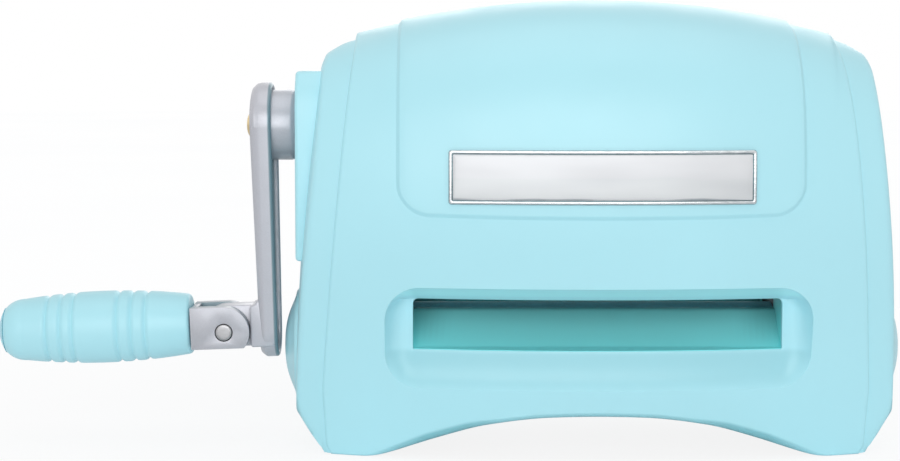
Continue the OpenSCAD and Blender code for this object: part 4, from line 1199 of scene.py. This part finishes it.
def plate_finish(name):
    """Bevelled border round a silvery printed label under a clear dome. Painted reflection: bright streaks between
    dark teal edges on the border, and a lighter upper part than lower part on the label, which also has a dark
    strip along its foot.
    """
    r = Recipe(name)
    label = r.attribute("label")
    # Painted reflection on the label: a streaky sheen over a lower part and a lighter upper part, their bounds made
    # wavy, with a dark strip along its foot.
    sheen = r.to_range(r.noise(46, 2, (0.3, 1, 1.6)))
    low = r.mixed(sheen, (0.58, 0.60, 0.62), (0.68, 0.70, 0.71))
    high = r.mixed(sheen, (0.60, 0.61, 0.63), (0.70, 0.71, 0.73))
    height = r.maths("MULTIPLY_ADD", r.noise(30, 2, (1, 1, 3)), 0.004, r.height())
    strip = r.mixed(r.to_range(height, 0, 1, 0.1142, 0.1150), (0.24, 0.28, 0.31), low)
    face = r.mixed(r.to_range(height, 0, 1, 0.1226, 0.1236), strip, high)
    # Painted reflection on the border: bright streaks, and dark teal edges where the label mark is 0.
    bright = r.mixed(r.to_range(r.noise(300, 3, (1, 1, 6))), (0.50, 0.53, 0.55), (0.72, 0.75, 0.76))
    border = r.mixed(r.to_range(label, 0, 1, 0.05, 0.4), (0.10, 0.16, 0.18), bright)
    return r.finish(r.mixed(r.to_range(label, 0, 1, 0.5, 1.0), border, face),
                    r.to_range(label, 0.16, 0.34, 0.5, 1), r.bump(r.noise(900, 2), 0.05, 0.00003),
                    r.to_range(label, 0.95, 0.15, 0.5, 1), (0.15, 0.12))


def floor_paint(name, base):
    """Floor paint that glows white towards the camera, and more so away from the machine."""
    r = Recipe(name)
    r.finish(r.mixed(r.to_range(r.noise(1.5, 3)), tint(base, 0.99), tint(base, 1.01)),
             r.to_range(r.noise(12, 3), 0.75, 0.85))
    white = r.mixed(r.to_range(r.noise(1.5, 3)), (0.985, 0.99, 0.995), (1, 1, 1))
    away = r.add("VectorMath", "Value", {0: r.place}, operation="LENGTH")
    seen = r.maths("MULTIPLY", r.to_range(away, 0.88, 1.0, 0.12, 0.55), r.add("LightPath", "Is Camera Ray"))
    blended = r.add("MixShader", "Shader", {"Fac": seen, 1: r.shader.outputs["BSDF"],
                                            2: r.add("Emission", "Emission", {"Color": white})})
    r.put(r.find("OUTPUT_MATERIAL").inputs["Surface"], blended)
    return r.material


def surroundings(name):
    """White surroundings, at half strength for what the camera and mirrors don't see."""
    world = bpy.data.worlds.new(name)
    w = Nodes(world)
    seen = w.add("LightPath", "Is Camera Ray")
    for key in ("Is Glossy Ray", "Is Transmission Ray"):
        seen = w.maths("MAXIMUM", seen, w.add("LightPath", key))
    back = w.find("BACKGROUND").inputs
    w.put(back["Strength"], w.add("MapRange", "Result", {"Value": seen, "To Min": 0.50, "To Max": 1.0}))
    w.put(back["Color"], (1, 1, 1, 1))
    return world


# Operators

class BuildShells(bpy.types.Operator):
    """Model the front and rear shells with the raised band over them"""

    bl_idname = "die_cutter.shells"
    bl_label = "Shells"

    def execute(self, context):
        material = moulded("aqua_shell", context.scene.die_finishes.shell)
        front = join(front_shell_mesh(), band_mesh())
        rear = mirrored_copy(front, "rear_shell_moulding", 1)
        finish_piece(front, "housing", material, "aqua_plastic", "front_shell")
        finish_piece(rear, "housing", material, "aqua_plastic", "rear_shell")
        return {"FINISHED"}


class BuildCovers(bpy.types.Operator):
    """Model the side covers, the crank boss and the round bulge"""

    bl_idname = "die_cutter.covers"
    bl_label = "Side covers"

    def execute(self, context):
        material = moulded("aqua_cover", context.scene.die_finishes.shell)
        left = join(cover_mesh("left_cover_moulding"), bulge_mesh())
        right = mirrored_copy(left, "right_cover_moulding", 0)
        join(left, boss_mesh())
        finish_piece(left, "housing", material, "aqua_plastic", "left_side_cover")
        finish_piece(right, "housing", material, "aqua_plastic", "right_side_cover")
        return {"FINISHED"}


class BuildPlate(bpy.types.Operator):
    """Model the bare name plate"""

    bl_idname = "die_cutter.name_plate"
    bl_label = "Name plate"

    def execute(self, context):
        finish_piece(plate_mesh(), "housing", plate_finish("plate_chrome"), "chrome_plate", "name_plate")
        return {"FINISHED"}


class BuildRamps(bpy.types.Operator):
    """Model the front and rear feed ramps"""

    bl_idname = "die_cutter.feed_ramps"
    bl_label = "Feed ramps"

    def execute(self, context):
        material = ramp_finish("teal_ramp", context.scene.die_finishes.ramp)
        front = ramp_mesh()
        rear = mirrored_copy(front, "rear_ramp_plastic", 1)
        finish_piece(front, "housing", material, "teal_plastic", "front_feed_ramp")
        finish_piece(rear, "housing", material, "teal_plastic", "rear_feed_ramp")
        return {"FINISHED"}


class BuildCrank(bpy.types.Operator):
    """Model the crank arm with its hub and knuckle, the cap nut and the hinge pin"""

    bl_idname = "die_cutter.crank"
    bl_label = "Crank"

    def execute(self, context):
        colours = context.scene.die_finishes
        arm = join(arm_mesh(), knuckle_mesh())
        lean_arm(arm)
        join(arm, hub_mesh())
        arm.name = "crank_arm_casting"
        finish_piece(arm, "crank", painted("arm_paint", colours.arm), "grey_paint", "crank_arm", angle=32)
        brass = metal("cap_brass", colours.brass, 0.30)
        finish_piece(cap_mesh(), "crank", brass, "brass_cap", "crank_cap_nut")
        steel = metal("pin_steel", (0.40, 0.40, 0.41), 0.42, (1, 1, 3))
        finish_piece(pin_mesh(), "crank", steel, "bright_steel", "hinge_pin")
        return {"FINISHED"}


class BuildGrip(bpy.types.Operator):
    """Model the folding fork, the grip's sleeve and its end cap"""

    bl_idname = "die_cutter.grip"
    bl_label = "Folding grip"

    def execute(self, context):
        colours = context.scene.die_finishes
        sleeve, tip = grip_meshes()
        paint = painted("fork_paint", tint(colours.arm, 0.88))
        finish_piece(fork_mesh(), "folding_fork", paint, "grey_paint", "grip_fork", angle=32)
        for piece, name, node in ((sleeve, "grip_plastic", "grip_sleeve"),
                                  (tip, "grip_end_plastic", "grip_end_cap")):
            finish_piece(piece, "grip", moulded(name, colours.shell, 0.40), "aqua_plastic", node)
        return {"FINISHED"}


# The nodes that the pieces above stand for. Every other node keeps its own mesh and is given a finish here
DRESSED = ("front_shell", "rear_shell", "left_side_cover", "right_side_cover", "name_plate", "front_feed_ramp",
           "rear_feed_ramp", "crank_arm", "crank_cap_nut", "hinge_pin", "grip_fork", "grip_sleeve", "grip_end_cap")


class FinishWorks(bpy.types.Operator):
    """Give the rollers, gears, frames and fixings inside the body their finishes"""

    bl_idname = "die_cutter.works"
    bl_label = "Works"

    def execute(self, context):
        steel = metal("bright_turned_steel", (0.62, 0.63, 0.65), 0.24)
        kinds = {
            # Painted reflection: the rollers' steel is tinted teal as if it mirrored the aqua plastic round it.
            metal("roller_steel_teal_reflection", (0.50, 0.84, 0.90), 0.52, (1, 3, 3)):
                ("upper_roller_tube", "lower_roller_tube"),
            painted("frame_enamel", (0.33, 0.34, 0.36), 0.42): ("left_frame", "right_frame", "base_plate"),
            metal("bush_bronze", (0.42, 0.34, 0.24), 0.40): ("roller_bushes", "crank_bushes"),
            moulded("gear_acetal", (0.62, 0.62, 0.58), 0.45, 0.0):
                ("reduction_gear", "upper_sync_gear", "lower_sync_gear", "crank_pinion"),
            rubber("foot_rubber", (0.035, 0.037, 0.040)): ("rubber_feet",),
        }
        chosen = {node: material for material, nodes in kinds.items() for node in nodes}
        for name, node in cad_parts.items():
            if name not in DRESSED:
                node.data.materials.clear()
                node.data.materials.append(chosen.get(name, steel))
        return {"FINISHED"}


# Each lamp's name, place, turn in degrees, size and power in watts
LAMPS = (("key_lamp", (-0.10, -2.2, 0.50), (81, 0, -3), 1.7, 23),
         ("top_lamp", (0.05, -0.3, 1.9), (8, 0, 0), 1.6, 6),
         ("rear_lamp", (0.4, 2.2, 0.9), (-70, 0, -10), 1.5, 7))
CAMERA_PLACE = (MIDDLE_X - 0.0625, -0.847, 0.1677)
CAMERA_TILT, CAMERA_LENS, CAMERA_SENSOR = 85.03, 76.6, 36


class BuildStage(bpy.types.Operator):
    """Set the floor, the soft lamps, the surroundings and the camera"""

    bl_idname = "die_cutter.stage"
    bl_label = "Stage"

    def execute(self, context):
        scene = context.scene
        start_fresh()
        bpy.ops.mesh.primitive_plane_add(size=12, location=(0, 0, 0))
        floor = context.object
        floor.name = "studio_floor"
        floor.data.materials.append(floor_paint("studio_floor_paint", scene.die_finishes.floor))
        for name, place, turn, size, power in LAMPS:
            bpy.ops.object.light_add(type="AREA", location=place, rotation=[radians(a) for a in turn])
            lamp = context.object
            lamp.name = name
            lamp.data.shape = "SQUARE"
            lamp.data.size = size
            lamp.data.energy = power
        scene.world = surroundings("studio_surroundings")
        scene.view_settings.view_transform = "Standard"
        bpy.ops.object.camera_add(location=CAMERA_PLACE, rotation=(radians(CAMERA_TILT), 0, 0))
        camera = context.object
        camera.name = "front_camera"
        camera.data.lens = CAMERA_LENS
        camera.data.sensor_width = CAMERA_SENSOR
        scene.camera = camera
        return {"FINISHED"}


class DiePanel(bpy.types.Panel):
    """Sizes, finishes and pieces of the die cutting machine"""

    bl_idname = "VIEW3D_PT_die_cutter"
    bl_label = "Die Cutting Machine"
    bl_space_type = "VIEW_3D"
    bl_region_type = "UI"
    bl_category = "Die Cutter"

    def draw(self, context):
        for operator in OPERATORS:
            self.layout.operator(operator.bl_idname)
        for key, group in GROUPS.items():
            box = self.layout.box()
            box.label(text=group.__name__)
            for name in group.__annotations__:
                box.prop(getattr(context.scene, key), name)


OPERATORS = (BuildShells, BuildCovers, BuildPlate, BuildRamps, BuildCrank, BuildGrip, FinishWorks, BuildStage)
GROUPS = {"die_body": BodySizes, "die_band": BandSizes, "die_slot": SlotSizes, "die_covers": CoverSizes,
          "die_plate": PlateSizes, "die_crank": CrankSizes, "die_grip": GripSizes, "die_finishes": Finishes}


def register():
    """Register the groups, operators and panel."""
    for each in (*GROUPS.values(), *OPERATORS, DiePanel):
        bpy.utils.register_class(each)
    for key, group in GROUPS.items():
        setattr(bpy.types.Scene, key, bpy.props.PointerProperty(type=group))


def unregister():
    """Take all of them away again."""
    for key in GROUPS:
        delattr(bpy.types.Scene, key)
    for each in (DiePanel, *reversed(OPERATORS), *reversed(GROUPS.values())):
        bpy.utils.unregister_class(each)


def main():
    """Build the machine with its operators, in order."""
    register()
    for each in OPERATORS:
        group, name = each.bl_idname.split(".")
        getattr(getattr(bpy.ops, group), name)()


if __name__ == "__main__":
    main()
